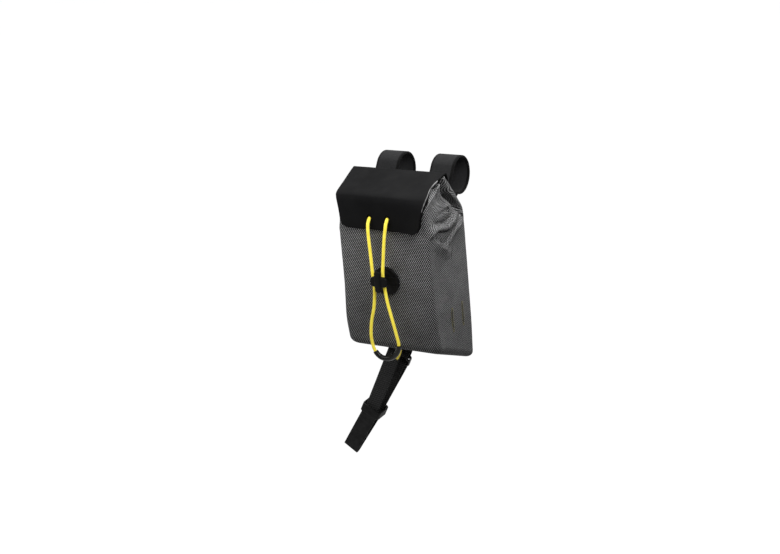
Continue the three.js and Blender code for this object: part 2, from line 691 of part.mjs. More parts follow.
const webGroup = new THREE.Group();
webGroup.position.set(WEB.x, 0, WEB.z);
webGroup.rotation.y = STRAP_LEAN;
stemBag.add(webGroup);
const webLine = [
  new THREE.Vector2(WEB.frontTop.y, WEB.frontTop.z),
  ...turnPoints(WEB.frontLow, WEB.rearLow, WEB.foldDepth, false, 8),
  new THREE.Vector2(WEB.rearTop.y, WEB.rearTop.z),
  ...turnPoints(WEB.barBehind, WEB.barAhead, WEB.barDepth, true, 6),
  new THREE.Vector2(WEB.tail.y, WEB.tail.z),
];
const webbing = acrossX(extrudeAcross(strapProfile(webLine, WEB_THICK), WEB_WIDTH));
const webPoints = webbing.attributes.position;
for (let i = 0; i < webPoints.count; i += 1) {
  const rise = (webPoints.getZ(i) - WEB.shiftFrom) / (WEB.shiftFull - WEB.shiftFrom);
  const share = blend(WEB.shiftLeast, 1, THREE.MathUtils.clamp(rise, 0, 1));
  const shift = WEB.rearShift * (webPoints.getY(i) - WEB.frontLow.y) * share;
  webPoints.setX(i, webPoints.getX(i) + shift);
}
addPiece('fork_webbing', trimUnderBase(webbing, webGroup), 0x222222, 0.85, 0, webGroup);

// The keeper: a flat ring round both runs of the webbing.
function buildKeeper() {
  const outer = new THREE.Shape();
  const loop = (halfY, halfX, corner) => {
    const path = new THREE.Path();
    path.absarc(halfX - corner, halfY - corner, corner, 0, Math.PI / 2);
    path.absarc(-halfX + corner, halfY - corner, corner, Math.PI / 2, Math.PI);
    path.absarc(-halfX + corner, -halfY + corner, corner, Math.PI, Math.PI * 1.5);
    path.absarc(halfX - corner, -halfY + corner, corner, Math.PI * 1.5, Math.PI * 2);
    return path.getPoints(4);
  };
  outer.setFromPoints(loop(KEEPER.halfDepth + KEEPER.thick, KEEPER.halfWide + KEEPER.thick, KEEPER.corner));
  outer.holes.push(new THREE.Path(loop(KEEPER.halfDepth, KEEPER.halfWide, KEEPER.innerCorner)));
  const geometry = new THREE.ExtrudeGeometry(outer, { depth: KEEPER.tall, bevelEnabled: false });
  geometry.translate(KEEPER.x, KEEPER.y, KEEPER.low);
  return geometry;
}
addPiece('strap_keeper', buildKeeper(), 0x181818, 0.6, 0, webGroup);

// The smooth tab below the keeper, folded flat on itself.
const tabGroup = new THREE.Group();
tabGroup.position.set(TAB.x, 0, TAB.z);
tabGroup.rotation.y = TAB_LEAN;
stemBag.add(tabGroup);
const tabLine = [
  new THREE.Vector2(TAB.frontTop.y, TAB.frontTop.z),
  new THREE.Vector2(TAB.frontMid.y, TAB.frontMid.z),
  ...turnPoints(TAB.frontLow, TAB.rearLow, TAB.foldDepth, false, 6),
  new THREE.Vector2(TAB.rearMid.y, TAB.rearMid.z),
  new THREE.Vector2(TAB.rearTop.y, TAB.rearTop.z),
];
const lowTab = acrossX(extrudeAcross(strapProfile(tabLine, TAB.thick), TAB_WIDTH));
addPiece('crown_tab', lowTab, 0x151515, 0.6, 0, tabGroup);

// The ladder lock and the webbing tab that holds it to the base.
const buckleGroup = new THREE.Group();
buckleGroup.position.set(BUCKLE.x, BUCKLE.y, BUCKLE.z);
buckleGroup.rotation.y = BUCKLE.lean;
stemBag.add(buckleGroup);

function buildBuckle() {
  const frame = roundedBlock(BUCKLE.wide, BUCKLE.tall, BUCKLE.corner, BUCKLE.thick);
  frame.translate(0, BUCKLE.thick / 2, 0);
  const through = 2 * BUCKLE.thick;
  const slot = roundedBlock(BUCKLE.slotWide, BUCKLE.slotTall, BUCKLE.slotCorner, through);
  slot.translate(0, through / 2, BUCKLE.slotRise);
  const lip = roundedBlock(BUCKLE.lipWide, BUCKLE.lipTall, BUCKLE.lipCorner, BUCKLE.lipThick);
  lip.translate(0, BUCKLE.lipThick / 2, -BUCKLE.tall / 2 - BUCKLE.lipDrop);
  return geometryOf(solidOf(frame).subtract(solidOf(slot)).add(solidOf(lip)));
}
addPiece('strap_buckle', buildBuckle(), 0x121212, 0.35, 0, buckleGroup);

const holdTop = BUCKLE.tall / 2 + BUCKLE.tabReach;
const holdAhead = { y: -BUCKLE.tabHalf, z: BUCKLE.tabLow };
const holdBehind = { y: BUCKLE.tabHalf, z: BUCKLE.tabLow };
const holdLine = [
  new THREE.Vector2(holdAhead.y, holdTop),
  ...turnPoints(holdAhead, holdBehind, BUCKLE.tabFold, false, 6),
  new THREE.Vector2(holdBehind.y, holdTop),
];
const holdTab = acrossX(extrudeAcross(strapProfile(holdLine, BUCKLE.tabThick), BUCKLE.tabWide));
addPiece('buckle_tab', trimUnderBase(holdTab, buckleGroup), 0x222222, 0.85, 0, buckleGroup);

export default stemBag;
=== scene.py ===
from math import copysign, cos, dist, hypot, pi, radians, sin, sqrt, tau

import bmesh
import bpy
from mathutils import Matrix, Vector, noise
from mathutils.bvhtree import BVHTree


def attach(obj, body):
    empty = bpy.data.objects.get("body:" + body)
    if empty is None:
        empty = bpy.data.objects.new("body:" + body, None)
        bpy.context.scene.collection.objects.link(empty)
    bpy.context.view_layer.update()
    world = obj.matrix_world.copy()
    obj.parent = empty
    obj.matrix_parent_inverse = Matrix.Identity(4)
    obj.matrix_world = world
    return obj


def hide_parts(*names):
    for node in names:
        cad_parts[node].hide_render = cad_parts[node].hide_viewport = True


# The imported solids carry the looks: millimetre sizes below are in their frame, with +X along the
# handlebar, -Y toward the rider and +Z up, and the origin on the bar's axis.
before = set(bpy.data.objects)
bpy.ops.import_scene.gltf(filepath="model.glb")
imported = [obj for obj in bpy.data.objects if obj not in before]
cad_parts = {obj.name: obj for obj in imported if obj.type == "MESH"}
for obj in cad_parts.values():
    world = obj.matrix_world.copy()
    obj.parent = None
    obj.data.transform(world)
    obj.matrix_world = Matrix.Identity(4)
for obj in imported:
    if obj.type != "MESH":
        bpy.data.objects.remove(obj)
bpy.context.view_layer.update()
MM = 0.001

# The pouch is a laminated cloth, dark grey with a small diamond weave, sewn into an upright bag with
# a sloping base. Its sides are tucked in at the top like a paper bag's, and the slack cloth below
# the tucks lies in creases.
CLOTH_THICK = 1.4
BASE_ROUND = 7.0
# From base to mouth: front line y, z; back line y, z; half width left, right; corner radius front,
# back; depth of the side tuck, and the shares of the side where it starts, is deepest and ends.
POUCH_LEVELS = (
    (-87.4, -143.2, -12.6, -176.6, 49.5, 51.0, 8.0, 8.0, 0.0, 0.16, 0.30, 0.48),
    (-89.0, -122.0, -14.0, -141.0, 49.2, 51.0, 6.0, 5.0, 0.0, 0.16, 0.30, 0.48),
    (-89.4, -86.0, -12.8, -92.0, 46.9, 49.8, 4.2, 4.5, 0.0, 0.14, 0.27, 0.46),
    (-89.2, -58.0, -13.2, -59.0, 46.5, 49.4, 3.6, 4.5, 0.0, 0.12, 0.24, 0.44),
    (-89.0, -36.0, -15.4, -37.0, 46.3, 49.4, 3.4, 3.0, 0.8, 0.050, 0.11, 0.30),
    (-89.0, -24.0, -16.8, -26.0, 45.2, 49.4, 3.4, 3.0, 6.0, 0.055, 0.12, 0.30),
    (-88.8, -11.5, -24.6, -15.2, 44.2, 49.4, 3.4, 3.0, 15.0, 0.090, 0.165, 0.34),
    (-87.2, -5.4, -31.0, -6.7, 44.2, 49.2, 3.4, 3.0, 20.0, 0.150, 0.245, 0.43),
    (-81.8, -2.8, -36.0, 0.0, 44.4, 49.0, 3.6, 3.0, 22.0, 0.170, 0.29, 0.50),
    (-72.0, 0.6, -40.4, 6.0, 45.4, 48.6, 4.0, 3.0, 22.0, 0.180, 0.34, 0.58),
    (-63.5, 4.4, -45.0, 12.2, 46.4, 48.2, 3.0, 3.0, 21.0, 0.200, 0.38, 0.64),
)
POUCH_STEPS = (8, 14, 14, 28, 17, 17, 14, 11, 9, 7)
CHEST = 3
# Rings of the base, from its middle out: how far each is set in, and its share of the rounding.
BASE_RINGS = ((32, 1), (26, 1), (20, 1), (14, 1), (9, 1), (7, 1), (5.2, 0.966), (3.5, 0.866),
              (2.05, 0.707), (0.94, 0.5), (0.24, 0.259))
# Points of a half section on the back, its corner, the runs of the side, the front corner and front.
BACK_POINTS, BACK_CORNER_POINTS = 12, 8
SIDE_POINTS = (6, 18, 18, 24)
FRONT_CORNER_POINTS, FRONT_POINTS = 10, 30
# Creases: the run of each, as (y, z) points on a side or (x, z) on the front, its depth, and its half
# width above and below the run, so that the cloth above can lap over. A negative depth is a ridge.
SIDE_CREASES = (
    (((-94, -38), (-84.7, -33.8), (-77.5, -30.9), (-70.6, -31.2), (-62.2, -34.4), (-55.3, -35.6),
      (-49.1, -34.2), (-40.7, -32.4), (-30.8, -28.1), (-26, -25.5)), 5.4, 4.6, 1.6),
    (((-57, -55), (-51.2, -49.2), (-46.7, -45.8), (-39.1, -42.8), (-29.4, -40.4), (-21.7, -36.9),
      (-15, -32)), 4.2, 3.2, 1.8),
    (((-86, -34), (-72.7, -45.1), (-61.9, -53.6), (-54, -58)), 1.9, 3.0, 2.0),
    (((-84, -40), (-71.3, -49.5), (-56.7, -59.3), (-46, -65)), 2.2, 4.6, 3.6),
    (((-80, -34.5), (-63.7, -39.3), (-52, -41.0), (-41.4, -38.2), (-30.6, -34.6), (-18, -29)),
     -2.4, 4.0, 5.0),
    (((-78, -21), (-40, -17)), -2.8, 8.0, 8.0),
    (((-54.5, -16.8), (-50, -20)), 2.4, 1.5, 1.5),
    (((-72, -19), (-53, -17)), 1.0, 1.5, 1.2),
)
LEFT_CREASES = 0.4
CREASE_FADE_BACK, CREASE_FADE_FRONT = 0.1, 0.07
FRONT_CREASES = (
    (((-3, -28), (0, -68)), -1.0, 4.0, 4.0),
    (((6, -26), (5, -66)), 1.0, 4.0, 4.0),
    (((13, -28), (9, -68)), -1.0, 4.0, 4.0),
)
SIDE_SWELL, SWELL_SPREAD, SWELL_Z, SWELL_REACH = 1.6, 0.62, -100.0, 62.0
SIDE_UNEVEN, FRONT_UNEVEN = 0.45, 0.35
QUARTER = pi / 2
SHARP_FROM = radians(50)


def bell(d):
    return 0.5 + 0.5 * cos(pi * d) if d < 1 else 0.0


def mix(a, b, t):
    return a + (b - a) * t


def ease(x, low, high):
    t = min(max((x - low) / (high - low), 0.0), 1.0)
    return t * t * (3 - 2 * t)


def ripple(place, scale):
    return 0.5 + 0.5 * noise.noise(Vector(place) * scale)


def curve_weights(t):
    """Shares of a curve's first point, first slope, last point and last slope at t."""
    return 2 * t ** 3 - 3 * t ** 2 + 1, t ** 3 - 2 * t ** 2 + t, 3 * t ** 2 - 2 * t ** 3, t ** 3 - t ** 2


def smooth_rows(table, steps):
    """Rows on smooth curves through the table's rows, with steps[i] of them from row i on."""
    rows = []
    last = len(table) - 1
    for i in range(last):
        before, here, after, beyond = (table[min(max(i + k, 0), last)] for k in (-1, 0, 1, 2))
        for s in range(steps[i]):
            w0, w1, w2, w3 = curve_weights(s / steps[i])
            rows.append([w0 * b + w1 * (c - a) / 2 + w2 * c + w3 * (d - b) / 2
                         for a, b, c, d in zip(before, here, after, beyond)])
    rows.append(list(table[last]))
    return rows


def crease_shift(creases, a, z):
    """How deep the creases are at a place. Each dies out toward the ends of its run."""
    shift = 0.0
    for run, depth, above, below in creases:
        nearest, deepest = 9.0, 0.0
        last = len(run) - 1
        for k, ((a0, z0), (a1, z1)) in enumerate(zip(run, run[1:])):
            da, dz = a1 - a0, z1 - z0
            t = min(max(((a - a0) * da + (z - z0) * dz) / (da * da + dz * dz), 0.0), 1.0)
            over = (z - z0) * da - (a - a0) * dz
            d = hypot(a - a0 - t * da, z - z0 - t * dz) / (2 * (above if over > 0 else below))
            if d < nearest:
                nearest, deepest = d, depth * (1 - (2 * (k + t) / last - 1) ** 4)
        shift += deepest * bell(nearest)
    return shift


def half_section(level, side):
    """One half of a section, from the middle of the back round to the middle of the front."""
    y_front, z_front, y_back, z_back, left, right, r_front, r_back, tuck, start, deepest, end = level
    half = left if side < 0 else right
    depth = y_back - y_front
    line = [((half - r_back) * k / BACK_POINTS, y_back) for k in range(BACK_POINTS)]
    for k in range(BACK_CORNER_POINTS):
        a = k / BACK_CORNER_POINTS * QUARTER
        line.append((half - r_back + r_back * sin(a), y_back - r_back + r_back * cos(a)))
    stops = (r_back / depth, start, deepest, end, 1 - r_front / depth)
    for part, count in enumerate(SIDE_POINTS):
        for k in range(count):
            q = mix(stops[part], stops[part + 1], k / count)
            reach = deepest - start if q < deepest else end - deepest
            line.append((half - tuck * bell(abs(q - deepest) / reach), y_back - q * depth))
    for k in range(FRONT_CORNER_POINTS):
        a = k / FRONT_CORNER_POINTS * QUARTER
        line.append((half - r_front + r_front * cos(a), y_front + r_front - r_front * sin(a)))
    line += [((half - r_front) * (1 - k / FRONT_POINTS), y_front) for k in range(FRONT_POINTS + 1)]
    return [(side * x, y, mix(z_back, z_front, (y_back - y) / depth)) for x, y in line]


def whole_section(level):
    return half_section(level, -1) + half_section(level, 1)[-2:0:-1]


def soft_point(point, level):
    """The swell of the sides, the creases, and the slight unevenness of a soft wall."""
    x, y, z = point
    y_front, y_back = level[0], level[2]
    half = level[4] if x < 0 else level[5]
    q = (y_back - y) / (y_back - y_front)
    push = SIDE_SWELL * bell(abs(q - 0.5) / SWELL_SPREAD) * bell(abs(z - SWELL_Z) / SWELL_REACH)
    folds = crease_shift(SIDE_CREASES, y, z) * (1.0 if x > 0 else LEFT_CREASES)
    push -= folds * ease(q, 0.0, CREASE_FADE_BACK) * ease(1 - q, 0.0, CREASE_FADE_FRONT)
    push -= SIDE_UNEVEN * ripple((x, y, z), 0.045)
    side_share = ease(abs(x), half * 0.55, half * 0.9)
    front_share = (1 - ease(abs(x), half * 0.5, half * 0.8)) if q > 0.9 else 0.0
    sway = FRONT_UNEVEN * ripple((x, 40, z), 0.05) * ease(q, 0.8, 1.0)
    return (
        x + copysign(push * side_share, x),
        y + crease_shift(FRONT_CREASES, x, z) * front_share + sway,
        z,
    )


def base_ring(level, by, drop):
    """The lowest section, set in and dropped, as a ring of the base."""
    y_front, z_front, y_back, z_back, left, right, r_front, r_back = level[:8]
    share = by / (y_back - y_front)
    fall = drop * BASE_ROUND
    return whole_section((
        y_front + by, mix(z_front, z_back, share) - fall,
        y_back - by, mix(z_back, z_front, share) - fall,
        left - by, right - by, max(r_front - by * 0.5, 2), max(r_back - by * 0.5, 2), *level[8:]))


def put(name, data):
    obj = bpy.data.objects.new(name, data)
    bpy.context.collection.objects.link(obj)
    return obj


def loft(name, rows, coords=lambda r, c: (c, r), around=True, along=False, caps=(), outward=True):
    """A mesh through rows of points in mm. coords(row, column) gives the cloth coordinates."""
    count = len(rows[0])
    faces, marks = [], []
    for r in range(len(rows) if along else len(rows) - 1):
        n = (r + 1) % len(rows)
        for c in range(count if around else count - 1):
            d = (c + 1) % count
            faces.append((r * count + c, r * count + d, n * count + d, n * count + c))
            marks += [(r, c), (r, c + 1), (r + 1, c + 1), (r + 1, c)]
    for cap in caps:
        r = cap % len(rows)
        order = range(count) if r else range(count - 1, -1, -1)
        faces.append([r * count + c for c in order])
        marks += [(r, c) for c in order]
    mesh = bpy.data.meshes.new(name)
    mesh.from_pydata([Vector(p) * MM for row in rows for p in row], [], faces)
    cloth = mesh.uv_layers.new(name="cloth")
    for corner, mark in zip(cloth.data, marks):
        corner.uv = coords(*mark)
    if outward:
        turned = bmesh.new()
        turned.from_mesh(mesh)
        bmesh.ops.remove_doubles(turned, verts=turned.verts, dist=1e-7)
        bmesh.ops.recalc_face_normals(turned, faces=turned.faces)
        turned.to_mesh(mesh)
        turned.free()
    mesh.shade_smooth()
    mesh.set_sharp_from_angle(angle=SHARP_FROM)
    return put(name, mesh)


levels = smooth_rows(POUCH_LEVELS, POUCH_STEPS)
rings = [base_ring(levels[0], by, drop) for by, drop in BASE_RINGS]
rings += [[soft_point(p, level) for p in whole_section(level)] for level in levels]
chest_row = len(BASE_RINGS) + sum(POUCH_STEPS[:CHEST])
ring_size = len(rings[0])
front_middle = len(half_section(POUCH_LEVELS[0], 1)) - 1
lengths_round, lengths_up = [], []
for ring in rings:
    run = [0.0]
    for c in range(ring_size):
        run.append(run[-1] + dist(ring[c], ring[(c + 1) % ring_size]))
    lengths_round.append([u - run[front_middle] for u in run])
for c in range(ring_size):
    run = [0.0]
    for r in range(1, len(rings)):
        run.append(run[-1] + dist(rings[r - 1][c], rings[r][c]))
    lengths_up.append([v - run[chest_row] + rings[chest_row][c][2] for v in run])
pouch = loft(
    "pouch", rings,
    lambda r, c: (lengths_round[r][c], lengths_up[c % ring_size][r]),
    caps=(0,), outward=False)
pouch_surface = BVHTree.FromObject(pouch, bpy.context.evaluated_depsgraph_get())
wall = pouch.modifiers.new("wall", "SOLIDIFY")
wall.thickness = CLOTH_THICK * MM
wall.offset = -1
wall.material_offset_rim = 1


def add(tree, kind, inputs=(), **settings):
    """A node with its settings, and its inputs set to values or linked to sockets."""
    made = tree.nodes.new(kind)
    for key, value in settings.items():
        setattr(made, key, value)
    for key, value in dict(inputs).items():
        if isinstance(value, bpy.types.NodeSocket):
            tree.links.new(value, made.inputs[key])
        else:
            made.inputs[key].default_value = value
    return made


def wire(tree, kind, inputs=(), **settings):
    return add(tree, kind, inputs, **settings).outputs[0]


def calc(operation, *terms):
    return wire(terms[0].id_data, "ShaderNodeMath", dict(enumerate(terms)), operation=operation)


def ramp(value, low, high, to_low=0.0, to_high=1.0):
    return wire(value.id_data, "ShaderNodeMapRange", {
        "Value": value, "From Min": low, "From Max": high, "To Min": to_low, "To Max": to_high},
        interpolation_type="SMOOTHSTEP")


def grey(value):
    return value, value, value


def blend_colour(share, a, b):
    tree = share.id_data
    made = add(tree, "ShaderNodeMix", data_type="RGBA")
    for key, value in ((0, share), (6, a), (7, b)):
        if isinstance(value, bpy.types.NodeSocket):
            tree.links.new(value, made.inputs[key])
        else:
            made.inputs[key].default_value = (*value, 1.0) if key else value
    return made.outputs[2]


def new_finish(name, roughness, specular=0.5, sheen=0.0, nap=0.5):
    material = bpy.data.materials.new(name)
    material.use_nodes = True
    shader = material.node_tree.nodes["Principled BSDF"]
    shader.inputs["Roughness"].default_value = roughness
    shader.inputs["Specular IOR Level"].default_value = specular
    shader.inputs["Sheen Weight"].default_value = sheen
    shader.inputs["Sheen Roughness"].default_value = nap
    return material, shader


def cloth_place(shader):
    tree = shader.id_data
    coords = wire(tree, "ShaderNodeUVMap", uv_map="cloth")
    parts = add(tree, "ShaderNodeSeparateXYZ", {0: coords})
    return parts.outputs[0], parts.outputs[1]


def mottle(shader, scale, detail=4.0):
    tree = shader.id_data
    spot = add(tree, "ShaderNodeTexCoord").outputs["Object"]
    return wire(tree, "ShaderNodeTexNoise", {"Vector": spot, "Scale": scale, "Detail": detail})


def patches(shader, scale, low=0.0, high=1.0):
    return ramp(mottle(shader, scale), 0.3, 0.7, low, high)


def flecks(shader, scale):
    return ramp(mottle(shader, scale), 0.35, 0.65)


def tint(shader, share, a, b):
    """The surface's colour, between two tones by a share that varies over it."""
    shader.id_data.links.new(blend_colour(share, a, b), shader.inputs["Base Color"])


def vary_gloss(shader, scale, low, high):
    shader.id_data.links.new(patches(shader, scale, low, high), shader.inputs["Roughness"])


def relief(shader, height, depth_mm):
    bump = wire(shader.id_data, "ShaderNodeBump", {"Height": height, "Distance": depth_mm * MM})
    shader.id_data.links.new(bump, shader.inputs["Normal"])


def dress(obj, *finishes):
    for finish in finishes:
        obj.data.materials.append(finish)


# Waves of the weave for each millimetre across and up, along its two slanting yarns.
WEAVE_YARNS = ((0.490, -0.307), (0.455, 0.430))
CLOTH_LIGHT = (0.52, 0.52, 0.525)
CLOTH_DARK = grey(0.006)
pouch_cloth, shader = new_finish("pouch cloth", roughness=0.75, specular=0.15, sheen=0.04)
tree = pouch_cloth.node_tree
across, up = cloth_place(shader)
waves = []
for fu, fv in WEAVE_YARNS:
    turns = [calc("MULTIPLY", across, tau * fu), calc("MULTIPLY", up, tau * fv)]
    waves.append(calc("COSINE", calc("ADD", *turns)))
dots = ramp(calc("ADD", *waves), 0.45, 1.6)
worn = patches(shader, 55, 0.85, 1.1)
weave = blend_colour(dots, CLOTH_DARK, CLOTH_LIGHT)
shade = wire(tree, "ShaderNodeVectorMath", {0: weave, 1: worn}, operation="MULTIPLY")
tree.links.new(shade, shader.inputs["Base Color"])
spread = wire(tree, "ShaderNodeUVMap", uv_map="cloth")
fuzz = wire(tree, "ShaderNodeTexNoise", {"Vector": spread, "Scale": 3.0, "Detail": 3.0})
yarn_height = calc("ADD", calc("MULTIPLY", dots, 0.7), calc("MULTIPLY", fuzz, 0.5))
relief(shader, yarn_height, 0.22)
raw_edge, shader = new_finish("raw cloth edge", roughness=0.8)
tint(shader, flecks(shader, 220), grey(0.10), grey(0.30))
relief(shader, mottle(shader, 1500), 0.2)
dress(pouch, pouch_cloth, raw_edge)
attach(pouch, "root")
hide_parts("bag_body")

# Two slits in the right side take a strap or a light. Each is cut through the laminate and its two edges
# are whipped with a khaki thread, like a long buttonhole. The dark inside of each slit is a strip of
# painted shadow laid on the cloth.
SLITS = (
    ((-56.3, -114.7), (-56.4, -125.9), (-54.6, -139.4)),
    ((-35.3, -115.7), (-34.6, -127.0), (-34.4, -140.2)),
)
SLIT_HALF, SLIT_PROUD, SLIT_DISH, SLIT_THICK, WHIP_OFF = 1.25, 0.16, 0.04, 0.1, 0.4
THREAD_LIGHT = (0.30, 0.27, 0.11)
THREAD_DARK = (0.13, 0.115, 0.05)


def on_right_side(y, z, proud):
    place, normal, _, _ = pouch_surface.ray_cast(Vector((0.2, y * MM, z * MM)), Vector((-1, 0, 0)))
    return place / MM + normal * proud


def thread_tree(name):
    """Short thread stitches along the edges of a mesh: each is a fine bead drawn out along or across."""
    tree = bpy.data.node_groups.new(name, "GeometryNodeTree")
    sockets = (
        ("Line", "NodeSocketGeometry", None), ("Spacing", "NodeSocketFloat", 0.001),
        ("Stitch Length", "NodeSocketFloat", 0.002), ("Thread Thickness", "NodeSocketFloat", 0.0005),
        ("Slant", "NodeSocketFloat", 0.0), ("Shown Side", "NodeSocketVector", (1, 0, 0)),
        ("Seed", "NodeSocketInt", 3), ("Thread", "NodeSocketMaterial", None))
    for label, kind, value in sockets:
        socket = tree.interface.new_socket(label, in_out="INPUT", socket_type=kind)
        if value is not None:
            socket.default_value = value
    tree.interface.new_socket("Stitches", in_out="OUTPUT", socket_type="NodeSocketGeometry")
    given = add(tree, "NodeGroupInput").outputs
    line = wire(tree, "GeometryNodeMeshToCurve", {"Mesh": given["Line"]})
    spots = add(tree, "GeometryNodeCurveToPoints", {
        "Curve": line, "Length": given["Spacing"]}, mode="LENGTH")
    along = wire(tree, "FunctionNodeAlignRotationToVector", {
        "Vector": spots.outputs["Tangent"]}, axis="Z")
    turn = wire(tree, "FunctionNodeAlignRotationToVector", {
        "Rotation": along, "Vector": given["Shown Side"]}, axis="X", pivot_axis="Z")
    jitter = wire(tree, "FunctionNodeRandomValue", {
        "Min": (-0.12, 0.0, 0.0), "Max": (0.12, 0.0, 0.0), "Seed": given["Seed"]},
        data_type="FLOAT_VECTOR")
    slant = wire(tree, "ShaderNodeCombineXYZ", {"X": given["Slant"]})
    tilt = wire(tree, "ShaderNodeVectorMath", {0: jitter, 1: slant}, operation="ADD")
    lean = wire(tree, "FunctionNodeEulerToRotation", {0: tilt})
    turned = wire(tree, "FunctionNodeRotateRotation", {
        "Rotation": turn, "Rotate By": lean}, rotation_space="LOCAL")
    thick, length = given["Thread Thickness"], given["Stitch Length"]
    size = wire(tree, "ShaderNodeCombineXYZ", {"X": thick, "Y": thick, "Z": length})
    bead = wire(tree, "GeometryNodeMeshUVSphere", {"Segments": 7, "Rings": 6, "Radius": 0.5})
    placed = wire(tree, "GeometryNodeInstanceOnPoints", {
        "Points": spots.outputs["Points"], "Instance": bead, "Rotation": turned, "Scale": size})
    plain = wire(tree, "GeometryNodeRealizeInstances", {0: placed})
    soft = wire(tree, "GeometryNodeSetShadeSmooth", {0: plain})
    dyed = wire(tree, "GeometryNodeSetMaterial", {"Geometry": soft, "Material": given["Thread"]})
    add(tree, "NodeGroupOutput", {0: dyed})
    return tree


sewing = thread_tree("sewn thread")


def settle(obj):
    """Leaves a piece as the plain mesh that its modifiers make."""
    made = bpy.data.meshes.new_from_object(obj.evaluated_get(bpy.context.evaluated_depsgraph_get()))
    obj.modifiers.clear()
    obj.data = made


def sew(name, lines, thread, spacing, length, thick, shown, slant=0.0):
    """Stitches along lines of points in mm, lying on a face that looks toward shown, as a plain mesh."""
    points, edges = [], []
    for line in lines:
        edges += [(len(points) + k, len(points) + k + 1) for k in range(len(line) - 1)]
        points += [Vector(p) * MM for p in line]
    guide = bpy.data.meshes.new(name + "_line")
    guide.from_pydata(points, edges, [])
    obj = put(name, guide)
    modifier = obj.modifiers.new("thread", "NODES")
    modifier.node_group = sewing
    values = {"Spacing": spacing * MM, "Stitch Length": length * MM, "Thread Thickness": thick * MM,
              "Slant": slant, "Shown Side": tuple(shown), "Thread": thread}
    for item in sewing.interface.items_tree:
        if item.in_out == "INPUT" and item.name in values:
            modifier[item.identifier] = values[item.name]
    obj.update_tag()
    settle(obj)
    bpy.data.meshes.remove(guide)
    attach(obj, "root")
    return obj


def thread_finish(name, light, dark):
    material, shader = new_finish(name, roughness=0.65, sheen=0.2)
    tint(shader, flecks(shader, 900), dark, light)
    relief(shader, mottle(shader, 4000), 0.1)
    return material


khaki_thread = thread_finish("khaki thread", THREAD_LIGHT, THREAD_DARK)
slit_rows, slit_edges = [], []
for marks in SLITS:
    line = smooth_rows(marks, (12, 12))
    rows, left, right = [], [], []
    for k, (y, z) in enumerate(line):
        half = SLIT_HALF * sqrt(max(1 - (2 * k / (len(line) - 1) - 1) ** 2, 0.003))
        rows.append([on_right_side(y + half * s, z, SLIT_PROUD - SLIT_DISH * (1 - s * s))
                     for s in (-1, -0.5, 0, 0.5, 1)])
        left.append(on_right_side(y - half - WHIP_OFF, z, SLIT_PROUD))
        right.append(on_right_side(y + half + WHIP_OFF, z, SLIT_PROUD))
    slit_rows.append(rows)
    slit_edges += [left, right]
# Painted shadow: each slit's opening is a near-black strip on the cloth, standing for the dark inside.
slit_painted_shadow, shader = new_finish("slit shadow", roughness=0.9)
tint(shader, mottle(shader, 300), grey(0.002), grey(0.006))
for number, rows in enumerate(slit_rows):
    gap = loft(f"slit_{number + 1}", rows, around=False)
    dress(gap, slit_painted_shadow)
    lip = gap.modifiers.new("lip", "SOLIDIFY")
    lip.thickness = SLIT_THICK * MM
    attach(gap, "root")
whipping = sew("slit_whipping", slit_edges, khaki_thread, spacing=0.62, length=1.2, thick=0.42,
               shown=(1, 0, 0), slant=0.9)

# The flap is a thick rubberised sheet, matt black, sewn to the back panel and folded forward over the
# mouth. Its cut edges show a paler core, and the elastic cord comes out through two oval holes.
FLAP_THICK = 1.4
FLAP_CORNER = 8.0
# From the lap on the back panel to the front edge: y, z, width to the left and to the right, how far
# the right edge stands off the pouch, and the depth of the hem there.
FLAP_LINE = (
    (-35.6, 1.6, 46.5, 46.5, 0.0, 0.0),
    (-43.6, 12.2, 49.0, 49.0, 0.0, 0.0),
    (-46.4, 14.7, 49.4, 49.4, 0.0, 0.0),
    (-50.6, 13.9, 49.2, 48.8, 0.1, 0.0),
    (-69.0, 7.9, 47.4, 46.2, 0.3, 1.0),
    (-86.4, 2.2, 45.6, 50.6, 1.8, 6.0),
    (-90.3, -1.2, 44.4, 50.8, 3.0, 6.3),
    (-91.2, -6.0, 43.4, 49.2, 4.4, 6.0),
    (-91.3, -14.0, 42.4, 46.4, 5.0, 6.0),
    (-91.3, -22.4, 41.7, 44.6, 4.8, 5.6),
    (-91.3, -27.6, 41.3, 44.2, 4.0, 4.6),
    (-91.3, -30.2, 41.0, 43.8, 3.4, 3.6),
)
FLAP_STEPS = (6, 4, 4, 10, 10, 5, 4, 5, 5, 8, 8)
FLAP_COLUMNS = 24
FLAP_UNEVEN, EDGE_BULGE, EDGE_ON = 0.28, 0.25, 0.6
LIFT_FROM = 0.45
HEM_FROM_Y, HEM_TO_RISE = -66.0, 2.5
LEFT_HEM, LEFT_HEM_FROM_Y, LEFT_HEM_TO_Y = 3.6, -45.0, -84.0
HEM_INSET, HEM_SUNK, HEM_CLEAR, HEM_LEAN, HEM_THICK = 0.3, 0.05, 0.6, 0.5, 0.7
HEM_LEAST, HEM_PROBE = 0.3, 2.5
# The stretch of the right edge that shows its pale core. Above and below it that edge keeps the flap's
# black as painted shade.
PALE_LIT_FROM_Y, PALE_LIT_TO_Z = -59.0, -8.0
CORD_HOLES = ((-9.4, -18.6), (9.7, -18.2))
HOLE_WIDE, HOLE_TALL, DRILL_Y = 4.6, 6.6, (-96, -86)
path = smooth_rows(FLAP_LINE, FLAP_STEPS)


def hem_section(edge, inward, lift, most):
    """Four corners of the hem under an edge of the flap, clear of the pouch below it."""
    start = edge + inward * HEM_INSET - lift * HEM_SUNK
    _, _, _, room = pouch_surface.ray_cast((start + inward * HEM_PROBE) * MM, -lift)
    deep = max(min(most, room / MM - HEM_CLEAR), HEM_LEAST) if room else most
    low = start - lift * deep + inward * HEM_LEAN
    return [start, low, low + inward * HEM_THICK, start + inward * HEM_THICK]


